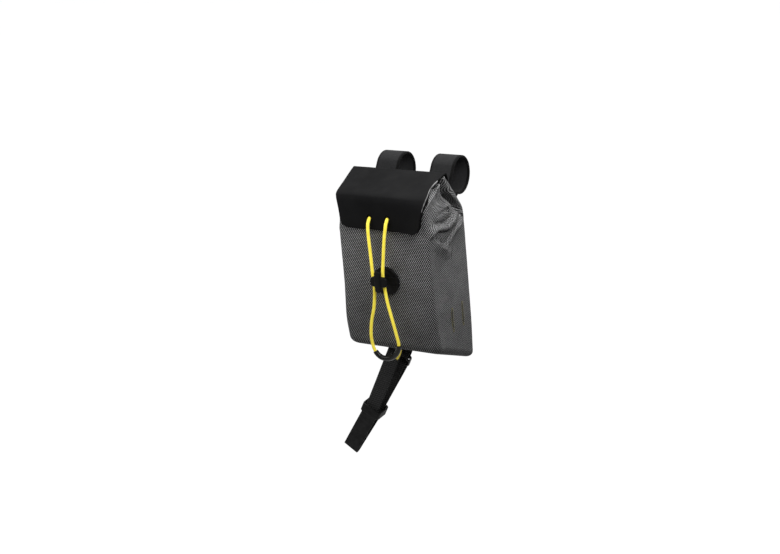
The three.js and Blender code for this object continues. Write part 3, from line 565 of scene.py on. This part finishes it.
flap_rows, hem_rows, left_hem_rows, flap_run = [], [], [], [0.0]
shares = [copysign(1 - (1 - abs(u)) ** 1.25, u)
          for u in (k / FLAP_COLUMNS - 1 for k in range(2 * FLAP_COLUMNS + 1))]
rightward = Vector((1, 0, 0))
for i, (y, z, left, right, stand, hem) in enumerate(path):
    before, after = path[max(i - 1, 0)], path[min(i + 1, len(path) - 1)]
    along = Vector((after[0] - before[0], after[1] - before[1])).normalized()
    lift = Vector((0, along.y, -along.x))
    if i:
        flap_run.append(flap_run[-1] + dist(path[i - 1][:2], (y, z)))
    rise = z - FLAP_LINE[-1][1]
    cut = 0.0
    if rise < FLAP_CORNER:
        cut = FLAP_CORNER - sqrt(max(FLAP_CORNER ** 2 - (FLAP_CORNER - rise) ** 2, 0))
    line = [Vector((s * ((left if s < 0 else right) - cut), y, z)) for s in shares]
    sway = [FLAP_UNEVEN * noise.noise(p * 0.05) + stand * max((s - LIFT_FROM) / (1 - LIFT_FROM), 0) ** 2
            for p, s in zip(line, shares)]
    top = [p + lift * (FLAP_THICK / 2 + w) for p, w in zip(line, sway)]
    under = [p - lift * (FLAP_THICK / 2 - w) for p, w in zip(line, sway)]
    edge_right = line[-1] + lift * sway[-1] + rightward * EDGE_BULGE
    edge_left = line[0] + lift * sway[0] - rightward * EDGE_BULGE
    flap_rows.append(top + [edge_right] + under[::-1] + [edge_left])
    if y < HEM_FROM_Y and rise > HEM_TO_RISE:
        hem_rows.append(hem_section(under[-1], -rightward, lift, hem))
    if LEFT_HEM_TO_Y < y < LEFT_HEM_FROM_Y:
        left_hem_rows.append(hem_section(under[0], rightward, lift, LEFT_HEM)[::-1])
flap_count = len(flap_rows[0])


def flap_coords(r, c):
    c %= flap_count
    return flap_rows[min(r, len(flap_rows) - 1)][c].x, flap_run[min(r, len(flap_run) - 1)]


flap = loft("flap", flap_rows, flap_coords, caps=(0, -1))
# Cut edges take the paler core. On the right edge this is only over the stretch that catches the light,
# and the rest of that edge is painted shade in the flap's black.
for face in flap.data.polygons:
    pale = PALE_LIT_FROM_Y * MM > face.center.y and face.center.z > PALE_LIT_TO_Z * MM
    if face.normal.x < -EDGE_ON or (face.normal.x > EDGE_ON and pale):
        face.material_index = 1


def carve(base, tools, operation):
    """Joins tools to a piece or cuts them out of it, and leaves a plain mesh."""
    for tool in tools:
        cut = base.modifiers.new("cut", "BOOLEAN")
        cut.object = tool
        cut.operation = operation
        cut.solver = "EXACT"
    bpy.context.view_layer.update()
    settle(base)
    for tool in tools:
        bpy.data.objects.remove(tool)


def angles(count):
    return [tau * k / count for k in range(count)]


def oval(x, y, z, wide, tall):
    return [Vector((x + wide / 2 * cos(a), y, z + tall / 2 * sin(a))) for a in angles(32)]


drills = []
for x, z in CORD_HOLES:
    ends = [oval(x, y, z, HOLE_WIDE, HOLE_TALL) for y in DRILL_Y]
    drills.append(loft("drill", ends, caps=(0, 1)))
flap_rubber, shader = new_finish("flap rubber", roughness=0.62, specular=0.03)
tint(shader, patches(shader, 28), (0.0038, 0.0038, 0.0040), (0.0051, 0.0051, 0.0053))
vary_gloss(shader, 90, 0.56, 0.7)
relief(shader, mottle(shader, 1300, 6.0), 0.12)
dress(flap, flap_rubber, raw_edge)
carve(flap, drills, "DIFFERENCE")
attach(flap, "root")
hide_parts("lid_flap")

# The flap's side edges are turned under in a narrow hem that stands toward the pouch. The hem is painted
# shade: its finish is much darker than the flap's rubber. On the right it shows as a black line beside
# the cloth, where the gap under the lifted edge lies in shadow, and on the left it closes the gap above
# the tuck.
# Painted shade: a near-black copy of the flap rubber for the hem, standing for the shadow under the
# flap's edge.
flap_hem_painted_shade, shader = new_finish("flap hem painted shade", roughness=0.8, specular=0.03)
tint(shader, mottle(shader, 300), (0.0012, 0.0012, 0.0013), (0.0022, 0.0022, 0.0023))
relief(shader, mottle(shader, 1300, 6.0), 0.1)
for name, rows in (("flap_hem", hem_rows), ("flap_hem_left", left_hem_rows)):
    hem_shade_strip = loft(name, rows, caps=(0, -1))
    dress(hem_shade_strip, flap_hem_painted_shade)
    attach(hem_shade_strip, "root")

# Each cord hole is pressed into the flap with a slim raised rim of the same rubber, which takes the
# wear of the cord.
RIM_RADIUS, RIM_OUT, RIM_Y = 0.45, 0.15, -92.05
for side, (x, z) in zip(("left", "right"), CORD_HOLES):
    wide, tall = HOLE_WIDE / 2 + RIM_OUT, HOLE_TALL / 2 + RIM_OUT
    rows = []
    for a in angles(40):
        out = Vector((cos(a), 0, sin(a)))
        middle = Vector((x + wide * cos(a), RIM_Y, z + tall * sin(a)))
        rows.append([middle + (out * cos(b) + Vector((0, -1, 0)) * sin(b)) * RIM_RADIUS
                     for b in angles(8)])
    rim = loft(f"hole_rim_{side}", rows, along=True)
    dress(rim, flap_rubber)
    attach(rim, "root")

# The hook is one moulding of black plastic, riveted to the front panel: a low round plate, a post and
# a crosswise bar with an upright thumb rib. The cord is caught behind the bar.
PLATE_X, PLATE_Z, PLATE_BACK = 2.4, -80.4, -89.75
# The plate's turned profile: how far each ring stands off the panel, and its radius.
PLATE_PROFILE = (
    (0.0, 0.05), (0.0, 13.4), (0.2, 13.85), (0.6, 14.0), (1.4, 13.9), (1.95, 13.5), (2.2, 12.9),
    (2.25, 11.6), (2.0, 11.1), (2.0, 10.3), (2.3, 9.8), (2.7, 7.0), (2.9, 3.5), (2.95, 0.05),
)
# Post, bar, rib and plate ridges: middle x and z, width, height, corner radius, y of the back and of
# the front, and how far the edges are rounded.
POST = (-0.6, -77.5, 5.6, 5.6, 2.8, PLATE_BACK - 1, -103.5, 0.3)
BAR = (2.5, -76.8, 18.4, 10.0, 4.2, -101.85, -105.45, 1.3)
RIB = (1.8, -76.8, 6.5, 21.0, 2.6, -103.65, -106.25, 1.1)
RIDGE = (12.0, 1.1, 0.5, PLATE_BACK - 1.2, PLATE_BACK - 3.0, 0.4)
RIDGE_X, RIDGES_Z = PLATE_X + 6.5, (PLATE_Z - 3.2, PLATE_Z + 4.6)
MOULDED_SHARP_FROM = radians(40)


def outline(wide, tall, corner, inset=0.0, per=8):
    """A rounded rectangle about the origin, as (x, z) points, set in by inset."""
    points = []
    corner = max(corner - inset, 0.2)
    for n, (sx, sz) in enumerate(((1, 1), (-1, 1), (-1, -1), (1, -1))):
        for k in range(per + 1):
            a = (n + k / per) * QUARTER
            points.append((sx * (wide / 2 - inset - corner) + corner * cos(a),
                           sz * (tall / 2 - inset - corner) + corner * sin(a)))
    return points


def edge_steps(y_back, y_front, round_by):
    """Steps through a rounded plate: each a y and how far the outline is set in."""
    way = copysign(1, y_front - y_back)
    steps = []
    for k in range(5):
        a = k / 4 * QUARTER
        steps.append((y_back + way * round_by * (1 - cos(a)), round_by * (1 - sin(a))))
    return steps + [(y_front + y_back - y, inset) for y, inset in reversed(steps)]


def block(name, x, z, wide, tall, corner, y_back, y_front, round_by):
    """A rounded plate standing toward -Y, with rounded front and back edges."""
    rows = []
    for y, inset in edge_steps(y_back, y_front, round_by):
        rows.append([(x + px, y, z + pz) for px, pz in outline(wide, tall, corner, inset)])
    return loft(name, rows, caps=(0, -1))


def mould(base, blocks, finish):
    """Joins the blocks of a moulding into one piece of one finish."""
    carve(base, blocks, "UNION")
    base.data.shade_smooth()
    base.data.set_sharp_from_angle(angle=MOULDED_SHARP_FROM)
    base.data.materials.clear()
    dress(base, finish)


plate_rows = []
for proud, r in PLATE_PROFILE:
    plate_rows.append([(PLATE_X + r * cos(a), PLATE_BACK - proud, PLATE_Z + r * sin(a))
                       for a in angles(64)])
plate = loft("hook", plate_rows, caps=(0, -1))
hook_blocks = [block("hook_post", *POST), block("hook_bar", *BAR), block("hook_rib", *RIB)]
hook_blocks += [block("hook_ridge", RIDGE_X, z, *RIDGE) for z in RIDGES_Z]
hook_plastic, shader = new_finish("hook plastic", roughness=0.45, specular=0.08)
tint(shader, patches(shader, 120), (0.0022, 0.0022, 0.0024), (0.0038, 0.0038, 0.0041))
vary_gloss(shader, 400, 0.36, 0.5)
relief(shader, mottle(shader, 2200), 0.05)
mould(plate, hook_blocks, hook_plastic)
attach(plate, "root")
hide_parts("cord_hook")

# The elastic cord has a lemon yellow braided cover. It comes out of the left hole in the flap, is caught
# behind the hook, hangs in a bend below the bag and goes back up into the right hole. The cover also
# glows faintly: painted light that keeps it bright toward the base, where the lamps fade.
CORD_THICK = 3.1
CORD_ROUTE = (
    (-9.4, -90.5, -18.9), (-9.4, -92.8, -20.3), (-9.4, -94.9, -23.2), (-9.3, -96.2, -27.6),
    (-8.8, -97.2, -36.0), (-7.4, -98.4, -55.0), (-6.0, -99.9, -73.0), (-5.1, -100.2, -84.0),
    (-5.9, -102.4, -102.0), (-9.8, -103.6, -119.5), (-10.9, -104.0, -136.0), (-7.9, -104.0, -147.6),
    (-1.6, -104.0, -153.2), (8.0, -104.0, -152.8), (15.6, -104.0, -146.8), (18.4, -104.0, -138.4),
    (16.4, -103.8, -127.0), (13.0, -103.2, -113.0), (8.6, -101.8, -97.0), (5.8, -100.2, -83.0),
    (4.8, -99.9, -73.0), (6.0, -98.4, -55.0), (8.2, -97.2, -35.2), (9.3, -96.2, -27.2),
    (9.6, -94.9, -22.8), (9.7, -92.8, -19.9), (9.7, -90.5, -18.5),
)
ROUTE_STEPS = 12
STRANDS, PLAIT_PITCH = 12, 1.6


def route(points, steps):
    """A centripetal curve through points, with steps of it between each two."""
    points = [Vector(p) for p in points]
    ends = [points[0] * 2 - points[1]] + points + [points[-1] * 2 - points[-2]]
    line = []
    for p0, p1, p2, p3 in zip(ends, ends[1:], ends[2:], ends[3:]):
        d0, d1, d2 = (max((b - a).length, 1e-6) ** 0.5 for a, b in ((p0, p1), (p1, p2), (p2, p3)))
        m1 = ((p1 - p0) / d0 - (p2 - p0) / (d0 + d1) + (p2 - p1) / d1) * d1
        m2 = ((p2 - p1) / d1 - (p3 - p1) / (d1 + d2) + (p3 - p2) / d2) * d1
        for s in range(steps):
            w0, w1, w2, w3 = curve_weights(s / steps)
            line.append(p1 * w0 + m1 * w1 + p2 * w2 + m2 * w3)
    return line + [points[-1]]


def frames_along(line):
    """At each point its direction and two directions square to it that turn as little as they can."""
    side = Vector((1, 0, 0))
    made = []
    for i in range(len(line)):
        ahead = (line[min(i + 1, len(line) - 1)] - line[max(i - 1, 0)]).normalized()
        side = (side - ahead * side.dot(ahead)).normalized()
        made.append((ahead, side, ahead.cross(side)))
    return made


def run_lengths(line):
    run = [0.0]
    for a, b in zip(line, line[1:]):
        run.append(run[-1] + (b - a).length)
    return run


def tube(name, line, radius, sides=16, blunt=0.35):
    """A round cord along a line, with slightly rounded cut ends."""
    frames, run = frames_along(line), run_lengths(line)
    last = len(line) - 1
    rows, places = [], []

    def ring(i, shift, r):
        ahead, side, lift = frames[i]
        rows.append([line[i] + ahead * shift + (side * cos(a) + lift * sin(a)) * r
                     for a in angles(sides)])
        places.append(run[i] + shift)

    swells = [sin(k / 3 * QUARTER) for k in range(3)]
    for swell in swells:
        ring(0, blunt * swell, radius - blunt * (1 - swell))
    for i in range(1, last):
        ring(i, 0, radius)
    for swell in reversed(swells):
        ring(last, -blunt * swell, radius - blunt * (1 - swell))
    around = tau * radius
    return loft(name, rows, lambda r, c: (around * c / sides, places[min(r, len(places) - 1)]),
                caps=(0, -1))


cord_line = route(CORD_ROUTE, ROUTE_STEPS)
cord = tube("elastic_cord", cord_line, CORD_THICK / 2)
cord_cover_painted_glow, shader = new_finish("cord cover with painted glow", roughness=0.62, sheen=0.25, nap=0.4)
round_u, along_v = cloth_place(shader)
round_wave = calc("MULTIPLY", round_u, STRANDS / CORD_THICK)
along_wave = calc("MULTIPLY", along_v, tau / PLAIT_PITCH)
strand = calc("MULTIPLY",
              calc("SINE", calc("ADD", round_wave, along_wave)),
              calc("SINE", calc("SUBTRACT", round_wave, along_wave)))
plait = ramp(strand, -0.7, 0.7)
lemon = blend_colour(flecks(shader, 260), (0.90, 0.74, 0.050), (0.95, 0.82, 0.085))
tint(shader, calc("MULTIPLY", plait, 0.35), lemon, (0.66, 0.46, 0.020))
relief(shader, plait, -0.18)
# Painted light: a faint yellow glow on the cover.
shader.inputs["Emission Color"].default_value = (0.90, 0.72, 0.05, 1.0)
shader.inputs["Emission Strength"].default_value = 0.2
dress(cord, cord_cover_painted_glow)

# A short black rubber sleeve covers the bend below the bag, where the cord's ends are joined, and one
# cut end of the cord stands out of it behind the main run.
SLEEVE_FROM, SLEEVE_TO = 11, 15
SLEEVE_OUTER, SLEEVE_BORE = 2.55, 1.95
SLEEVE_END_CUTS = (0.3, 0.1, 0.0)
CORD_END = ((16.8, -102.2, -143.4), (16.6, -99.9, -145.8), (14.8, -99.3, -150.2), (12.1, -99.4, -154.8))
first, last = SLEEVE_FROM * ROUTE_STEPS, SLEEVE_TO * ROUTE_STEPS
sleeve_rows = []
frames = frames_along(cord_line)
for i in list(range(first, last + 1)) + list(range(last, first - 1, -1)):
    inside = len(sleeve_rows) > last - first
    near_end = min(i - first, last - i, 2)
    radius = SLEEVE_BORE if inside else SLEEVE_OUTER - SLEEVE_END_CUTS[near_end]
    _, side, lift = frames[i]
    sleeve_rows.append([cord_line[i] + (side * cos(a) + lift * sin(a)) * radius
                        for a in angles(24)])
sleeve = loft("cord_sleeve_rubber", sleeve_rows, along=True)
sleeve_rubber, shader = new_finish("sleeve rubber", roughness=0.3, specular=0.2)
tint(shader, patches(shader, 200), grey(0.004), grey(0.007))
vary_gloss(shader, 500, 0.24, 0.38)
relief(shader, mottle(shader, 1800), 0.04)
dress(sleeve, sleeve_rubber)
cord_end = tube("cord_end", route(CORD_END, 10), CORD_THICK / 2, blunt=0.5)
dress(cord_end, cord_cover_painted_glow)
for obj, node, slot in ((cord, "shock_cord", "elastic_cord"), (sleeve, "cord_sleeve", "sleeve_rubber"),
                        (cord_end, "cord_tail", "elastic_cord")):
    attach(obj, "root")
    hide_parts(node)

# Two broad straps of napped cloth with bound edges hold the bag to the handlebar. Each is a closed band
# round the bar that is sewn to the top of the back panel. The near-black edges are partly the binding's
# own colour and partly painted shade, standing for the shadow along the straps' sides.
BAR_INSIDE = 16.4
BAR_STRAP_WIDE, BAR_STRAP_THICK = 25.0, 2.4
BAR_STRAP_X = (("left", -31.0), ("right", 28.5))
BAR_ARC_FROM, BAR_ARC_TO, BAR_ARC_STEPS = -118, 138, 48
PANEL_RUN = ((-27.0, -9.0), (-18.4, -20.6))
# Where the near-black edge starts and ends across the strap: binding colour together with painted shade.
BINDING_SHADE_FROM, BINDING_SHADE_TO, BOUND_RIB = 10.0, 10.5, 0.9
SEAM_SHARES, SEAM_HALF, SEAM_PROUD = (0.3, 0.42, 0.58, 0.7), 9.5, 0.08


def rounded(points, times, closed):
    """Corners cut back evenly, so that a line of straight runs bends softly."""
    for _ in range(times):
        pairs = list(zip(points, points[1:] + points[:1] if closed else points[1:]))
        soft = [q for a, b in pairs for q in (a * 0.75 + b * 0.25, a * 0.25 + b * 0.75)]
        points = soft if closed else [points[0]] + soft[1:-1] + [points[-1]]
    return points


def band(name, line, across, wide, thick, closed, edge=0.8, per=12):
    """A strap along a line, with its width along across and with rounded edges."""
    across = across.normalized()
    profile = []
    for n in (1, -1):
        for k in range(per + 1):
            profile.append((n * mix(-1, 1, k / per) * (wide / 2 - edge), n * thick / 2))
        for k in range(1, 5):
            a = k / 5 * pi
            profile.append((n * (wide / 2 - edge + edge * sin(a)), n * thick / 2 * cos(a)))
    rows, run = [], [0.0]
    for i, p in enumerate(line):
        if closed:
            before, after = line[i - 1], line[(i + 1) % len(line)]
        else:
            before, after = line[max(i - 1, 0)], line[min(i + 1, len(line) - 1)]
        normal = (after - before).cross(across).normalized()
        rows.append([p + across * a + normal * n for a, n in profile])
        run.append(run[-1] + (line[(i + 1) % len(line)] - p).length)
    return loft(name, rows, lambda r, c: (profile[c % len(profile)][0], run[r]), along=closed,
                caps=() if closed else (0, -1))


strap_cloth, shader = new_finish("bar strap cloth", roughness=0.9, specular=0.06, sheen=0.02, nap=0.6)
across, up = cloth_place(shader)
# Near-black edges: the binding's colour and painted shade along the strap's sides.
binding_and_shade = ramp(calc("ABSOLUTE", across), BINDING_SHADE_FROM, BINDING_SHADE_TO)
nap = mottle(shader, 1100, 6.0)
napped = blend_colour(ramp(nap, 0.35, 0.65), (0.0100, 0.0100, 0.0104), (0.0165, 0.0165, 0.0171))
tint(shader, binding_and_shade, napped, grey(0.0025))
ribs = calc("MULTIPLY", calc("SINE", calc("MULTIPLY", up, tau / BOUND_RIB)), binding_and_shade)
relief(shader, calc("ADD", calc("MULTIPLY", ribs, 0.3), nap), 0.3)
black_thread = thread_finish("black thread", grey(0.045), grey(0.015))
radius = BAR_INSIDE + BAR_STRAP_THICK / 2
bar_arc = [radians(mix(BAR_ARC_FROM, BAR_ARC_TO, k / BAR_ARC_STEPS))
           for k in range(BAR_ARC_STEPS + 1)]
(y0, z0), (y1, z1) = PANEL_RUN
run = Vector((0, y1 - y0, z1 - z0)).normalized()
inward = Vector((0, -run.z, run.y)) * (BAR_STRAP_THICK / 2 + SEAM_PROUD)
strap_seams = []
for side, x in BAR_STRAP_X:
    line = [Vector((x, radius * cos(a), radius * sin(a))) for a in bar_arc]
    line += [Vector((x, y, z)) for y, z in PANEL_RUN]
    strap = band(f"bar_strap_{side}_cloth", rounded(line, 2, True), Vector((1, 0, 0)),
                 BAR_STRAP_WIDE, BAR_STRAP_THICK, True)
    dress(strap, strap_cloth)
    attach(strap, "root")
    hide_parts(f"bar_strap_{side}")
    for share in SEAM_SHARES:
        middle = Vector((x, mix(y0, y1, share), mix(z0, z1, share))) + inward
        strap_seams.append([middle + Vector((d, 0, 0)) for d in (-SEAM_HALF, SEAM_HALF)])
seams = sew("bar_strap_seams", strap_seams, black_thread, spacing=2.3, length=1.9, thick=0.5,
            shown=inward)

# A ladder lock of glossy black plastic hangs from the base on a short folded tab of webbing, sewn in
# with the base seam.
BUCKLE_AT, BUCKLE_LEAN = (-15.8, -43.5, -179.8), radians(25)
BUCKLE_WIDE, BUCKLE_TALL, BUCKLE_THICK, BUCKLE_CORNER = 20.4, 12.0, 3.0, 2.4
SLOT_WIDE, SLOT_TALL, SLOT_CORNER, SLOT_RISE = 16.8, 8.2, 1.2, 0.1
BUCKLE_EDGE = 0.7
HOLD_HALF, HOLD_LOW, HOLD_WIDE, HOLD_THICK, HOLD_TURN = 2.6, 4.0, 14.6, 1.4, 1.8
HOLD_TOP = BUCKLE_TALL / 2 + 12
LATTICE_WIDE, LATTICE_TALL = 2.4, 3.0


def leaned(at, lean, x, y, z):
    """A point of a piece that leans about Y, from its own frame."""
    return Vector((at[0] + x * cos(lean) + z * sin(lean), at[1] + y,
                   at[2] - x * sin(lean) + z * cos(lean)))


def turn_points(y0, z0, y1, z1, radius, up, steps):
    points = []
    for k in range(steps + 1):
        a = pi * k / steps
        y = mix(y0, y1, 0.5 - 0.5 * cos(a))
        points.append((y, mix(z0, z1, k / steps) + up * radius * sin(a)))
    return points


def trim_under_base(obj, gap=0.2):
    """Cuts a strap off just under the sloping base."""
    y_front, z_front, y_back, z_back = POUCH_LEVELS[0][:4]
    slope = (z_back - z_front) / (y_back - y_front)
    point = Vector((0, y_front, z_front - BASE_ROUND - gap)) * MM
    normal = Vector((0, -slope, 1)).normalized()
    cut = bmesh.new()
    cut.from_mesh(obj.data)
    bmesh.ops.bisect_plane(cut, geom=cut.verts[:] + cut.edges[:] + cut.faces[:], plane_co=point,
                           plane_no=normal, clear_outer=True)
    bmesh.ops.holes_fill(cut, edges=[e for e in cut.edges if e.is_boundary], sides=0)
    cut.to_mesh(obj.data)
    cut.free()


webbing_cloth, shader = new_finish("webbing", roughness=0.78, specular=0.12, sheen=0.04)
across, up = cloth_place(shader)
lattice = calc("MULTIPLY",
               calc("COSINE", calc("MULTIPLY", across, tau / LATTICE_WIDE)),
               calc("COSINE", calc("MULTIPLY", up, tau / LATTICE_TALL)))
yarn = ramp(lattice, -0.5, 0.6)
tint(shader, yarn, grey(0.060), grey(0.014))
coarse = calc("MULTIPLY", mottle(shader, 700), 0.6)
relief(shader, calc("ADD", calc("MULTIPLY", yarn, -1.0), coarse), 0.25)
hold_line = [(-HOLD_HALF, HOLD_TOP)]
hold_line += turn_points(-HOLD_HALF, HOLD_LOW, HOLD_HALF, HOLD_LOW, HOLD_TURN, -1, 16)
hold_line.append((HOLD_HALF, HOLD_TOP))
level = leaned((0, 0, 0), BUCKLE_LEAN, 1, 0, 0)
hold = band("buckle_hold", [leaned(BUCKLE_AT, BUCKLE_LEAN, 0, y, z) for y, z in hold_line], level,
            HOLD_WIDE, HOLD_THICK, False, 0.6)
trim_under_base(hold)
dress(hold, webbing_cloth)
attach(hold, "root")
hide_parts("buckle_tab")


def buckle_loft(name, rows, **ends):
    return loft(name, [[leaned(BUCKLE_AT, BUCKLE_LEAN, *p) for p in row] for row in rows], **ends)


def buckle_bar(name, wide, tall, corner, half, rise, round_by):
    rows = []
    for y, inset in edge_steps(half, -half, round_by):
        rows.append([(x, y, z + rise) for x, z in outline(wide, tall, corner, inset)])
    return buckle_loft(name, rows, caps=(0, -1))


ring_rows = []
for y, inset in edge_steps(BUCKLE_THICK / 2, -BUCKLE_THICK / 2, BUCKLE_EDGE):
    ring_rows.append([(x, y, z) for x, z in outline(BUCKLE_WIDE, BUCKLE_TALL, BUCKLE_CORNER, inset)])
for y, inset in edge_steps(-BUCKLE_THICK / 2, BUCKLE_THICK / 2, BUCKLE_EDGE):
    slot = outline(SLOT_WIDE, SLOT_TALL, SLOT_CORNER, -inset)
    ring_rows.append([(x, y, z + SLOT_RISE) for x, z in slot])
buckle = buckle_loft("buckle", ring_rows, along=True)
lip = buckle_bar("buckle_lip", wide=12.0, tall=3.0, corner=1.2, half=1.1, rise=-BUCKLE_TALL / 2 - 1,
                 round_by=BUCKLE_EDGE)
rung = buckle_bar("buckle_rung", wide=SLOT_WIDE + 1.0, tall=1.7, corner=0.6, half=1.2, rise=0.35,
                  round_by=0.4)
buckle_plastic, shader = new_finish("buckle plastic", roughness=0.25, specular=0.4)
tint(shader, patches(shader, 150), grey(0.008), grey(0.014))
vary_gloss(shader, 450, 0.2, 0.34)
relief(shader, mottle(shader, 1600), 0.04)
mould(buckle, [lip, rung], buckle_plastic)
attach(buckle, "root")
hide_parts("strap_buckle")

# The long strap is woven webbing with a small lattice. It is sewn into the base in front, runs down,
# turns at the keeper and comes back up behind to the ladder lock.
WEB_AT, WEB_LEAN = (-18.8, 0.0, -179.0), radians(27)
WEB_WIDE, WEB_THICK = 15.0, 1.6
WEB_FRONT_Y = -56.6
WEB_LINE = (
    (-60.4, 30), (-58.5, -17), *turn_points(WEB_FRONT_Y, -64.5, -47.4, -64.5, 5.5, -1, 16), (-44.4, -40),
    (-41.4, -16), *turn_points(-40.6, -3.4, -46.4, -3.4, 2.2, 1, 12), (-46.6, -20),
)
# Sideways shift for each millimetre behind the front run: full at the top, least at the lower end.
WEB_SHIFT, WEB_SHIFT_LEAST, WEB_SHIFT_FROM, WEB_SHIFT_RUN = 0.25, 0.45, -70, 60
TACK_Y, TACK_X, TACK_ROWS = -60.18, (-6.9, 5.1), (8.5, 10.1)
web_points = []
for y, z in rounded([Vector(p) for p in WEB_LINE], 2, False):
    rise = min(max((z - WEB_SHIFT_FROM) / WEB_SHIFT_RUN, 0), 1)
    shift = WEB_SHIFT * (y - WEB_FRONT_Y) * mix(WEB_SHIFT_LEAST, 1, rise)
    web_points.append(leaned(WEB_AT, WEB_LEAN, shift, y, z))
level = leaned((0, 0, 0), WEB_LEAN, 1, 0, 0)
webbing = band("strap_webbing", web_points, level, WEB_WIDE, WEB_THICK, False, 0.7)
trim_under_base(webbing)
dress(webbing, webbing_cloth)
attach(webbing, "root")
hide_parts("fork_webbing")
tack_lines = [[leaned(WEB_AT, WEB_LEAN, x, TACK_Y, z) for x in TACK_X] for z in TACK_ROWS]
tacks = sew("webbing_tacks", tack_lines, black_thread, spacing=0.7, length=1.4, thick=0.45,
            shown=(0, -1, 0), slant=1.2)

# The keeper is a flat ring of moulded rubber, slipped over the lower end of the webbing. It holds both
# runs of the webbing and the ends of the tab together.
KEEPER_X, KEEPER_Y, KEEPER_HALF, KEEPER_DEEP = 0.6, -52.0, 9.4, 7.9
KEEPER_THICK, KEEPER_TALL, KEEPER_LOW, KEEPER_CORNER = 1.6, 9.6, -69.6, 2.4
keeper_outline = outline(2 * KEEPER_HALF + KEEPER_THICK, 2 * KEEPER_DEEP + KEEPER_THICK, KEEPER_CORNER)
keeper_line = [leaned(WEB_AT, WEB_LEAN, KEEPER_X + x, KEEPER_Y + y, KEEPER_LOW + KEEPER_TALL / 2)
               for x, y in keeper_outline]
upright = leaned((0, 0, 0), WEB_LEAN, 0, 0, 1)
keeper = band("keeper_ring", keeper_line, upright, KEEPER_TALL, KEEPER_THICK, True, 0.5)
tab_rubber, shader = new_finish("tab rubber", roughness=0.6, specular=0.12)
tint(shader, patches(shader, 60), grey(0.0065), grey(0.010))
vary_gloss(shader, 200, 0.52, 0.68)
relief(shader, mottle(shader, 1400, 5.0), 0.1)
dress(keeper, tab_rubber)
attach(keeper, "root")
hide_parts("strap_keeper")

# The tab below is a smooth matt strip, folded on itself round what the bag is tied to, with both ends
# caught in the keeper.
TAB_AT, TAB_LEAN = (-50.2, 0.0, -240.6), radians(33)
TAB_WIDE, TAB_THICK = 17.0, 1.5
TAB_LINE = (
    (-58.6, 5.5), (-57.6, -10), *turn_points(-54.2, -53, -49.8, -53, 1.8, -1, 14),
    (-46.6, -10), (-45.4, 5.5),
)
tab_run = rounded([Vector(p) for p in TAB_LINE], 2, False)
tab_points = [leaned(TAB_AT, TAB_LEAN, 0, p.x, p.y) for p in tab_run]
level = leaned((0, 0, 0), TAB_LEAN, 1, 0, 0)
tab = band("strap_tab", tab_points, level, TAB_WIDE, TAB_THICK, False, 0.6)
dress(tab, tab_rubber)
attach(tab, "root")
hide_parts("crown_tab")

# The studio: a pale floor a metre below the handlebar, a soft lamp close to the front on the left and
# one on the right, both near the top of the bag so that they fade toward its base, light from above
# and behind, and a dim sky.
FLOOR_Z, FLOOR_CORNERS = -1.0, ((-9, -9), (9, -9), (9, 9), (-9, 9))
floor_mesh = bpy.data.meshes.new("floor")
floor_mesh.from_pydata([(x, y, FLOOR_Z) for x, y in FLOOR_CORNERS], [], [(0, 1, 2, 3)])
floor = put("floor", floor_mesh)
paper, shader = new_finish("pale paper", roughness=0.9, specular=0.1)
tint(shader, mottle(shader, 2.0), grey(0.52), grey(0.54))
dress(floor, paper)
floor.visible_diffuse = False


def add_lamp(name, kind, strength, at, toward, **settings):
    light = bpy.data.lights.new(name, kind)
    light.energy = strength
    for key, value in settings.items():
        setattr(light, key, value)
    lamp = put(name, light)
    lamp.location = at
    lamp.rotation_euler = (Vector(at) - Vector(toward)).to_track_quat("Z", "Y").to_euler()
    lamp.visible_camera = kind == "SUN"


add_lamp("key", "AREA", 0.55, (-0.118, -0.235, 0.070), (0.0, -0.085, -0.02), shape="DISK", size=0.3)
add_lamp("side", "AREA", 1.52, (0.215, -0.185, 0.222), (0.05, -0.065, -0.03), shape="DISK", size=0.2)
add_lamp("above", "SUN", 6.3, (-0.03, 0.45, 0.89), (0, 0, 0), angle=radians(40))
world = bpy.data.worlds.new("studio")
world.use_nodes = True
sky = world.node_tree.nodes["Background"]
sky.inputs["Color"].default_value = (1, 1, 1, 1)
sky.inputs["Strength"].default_value = 0.12
bpy.context.scene.world = world
bpy.context.scene.view_settings.view_transform = "Standard"

# The camera stands where the photograph was taken from, up to the right of the bag's front. It was
# fitted to two vanishing points of the bag's straight edges.
CAMERA_AT = (0.6660, -1.1759, 0.3811)
CAMERA_RIGHT = Vector((0.8664, 0.4930, -0.0786))
CAMERA_UP = Vector((-0.1038, 0.3318, 0.9376))
CAMERA_BACK = Vector((0.4884, -0.8042, 0.3387))
lens = bpy.data.cameras.new("camera")
lens.sensor_width = 36
lens.lens = 66.65
camera = put("camera", lens)
turned = Matrix((CAMERA_RIGHT, CAMERA_UP, CAMERA_BACK)).transposed().to_4x4()
camera.matrix_world = Matrix.Translation(CAMERA_AT) @ turned
bpy.context.scene.camera = camera
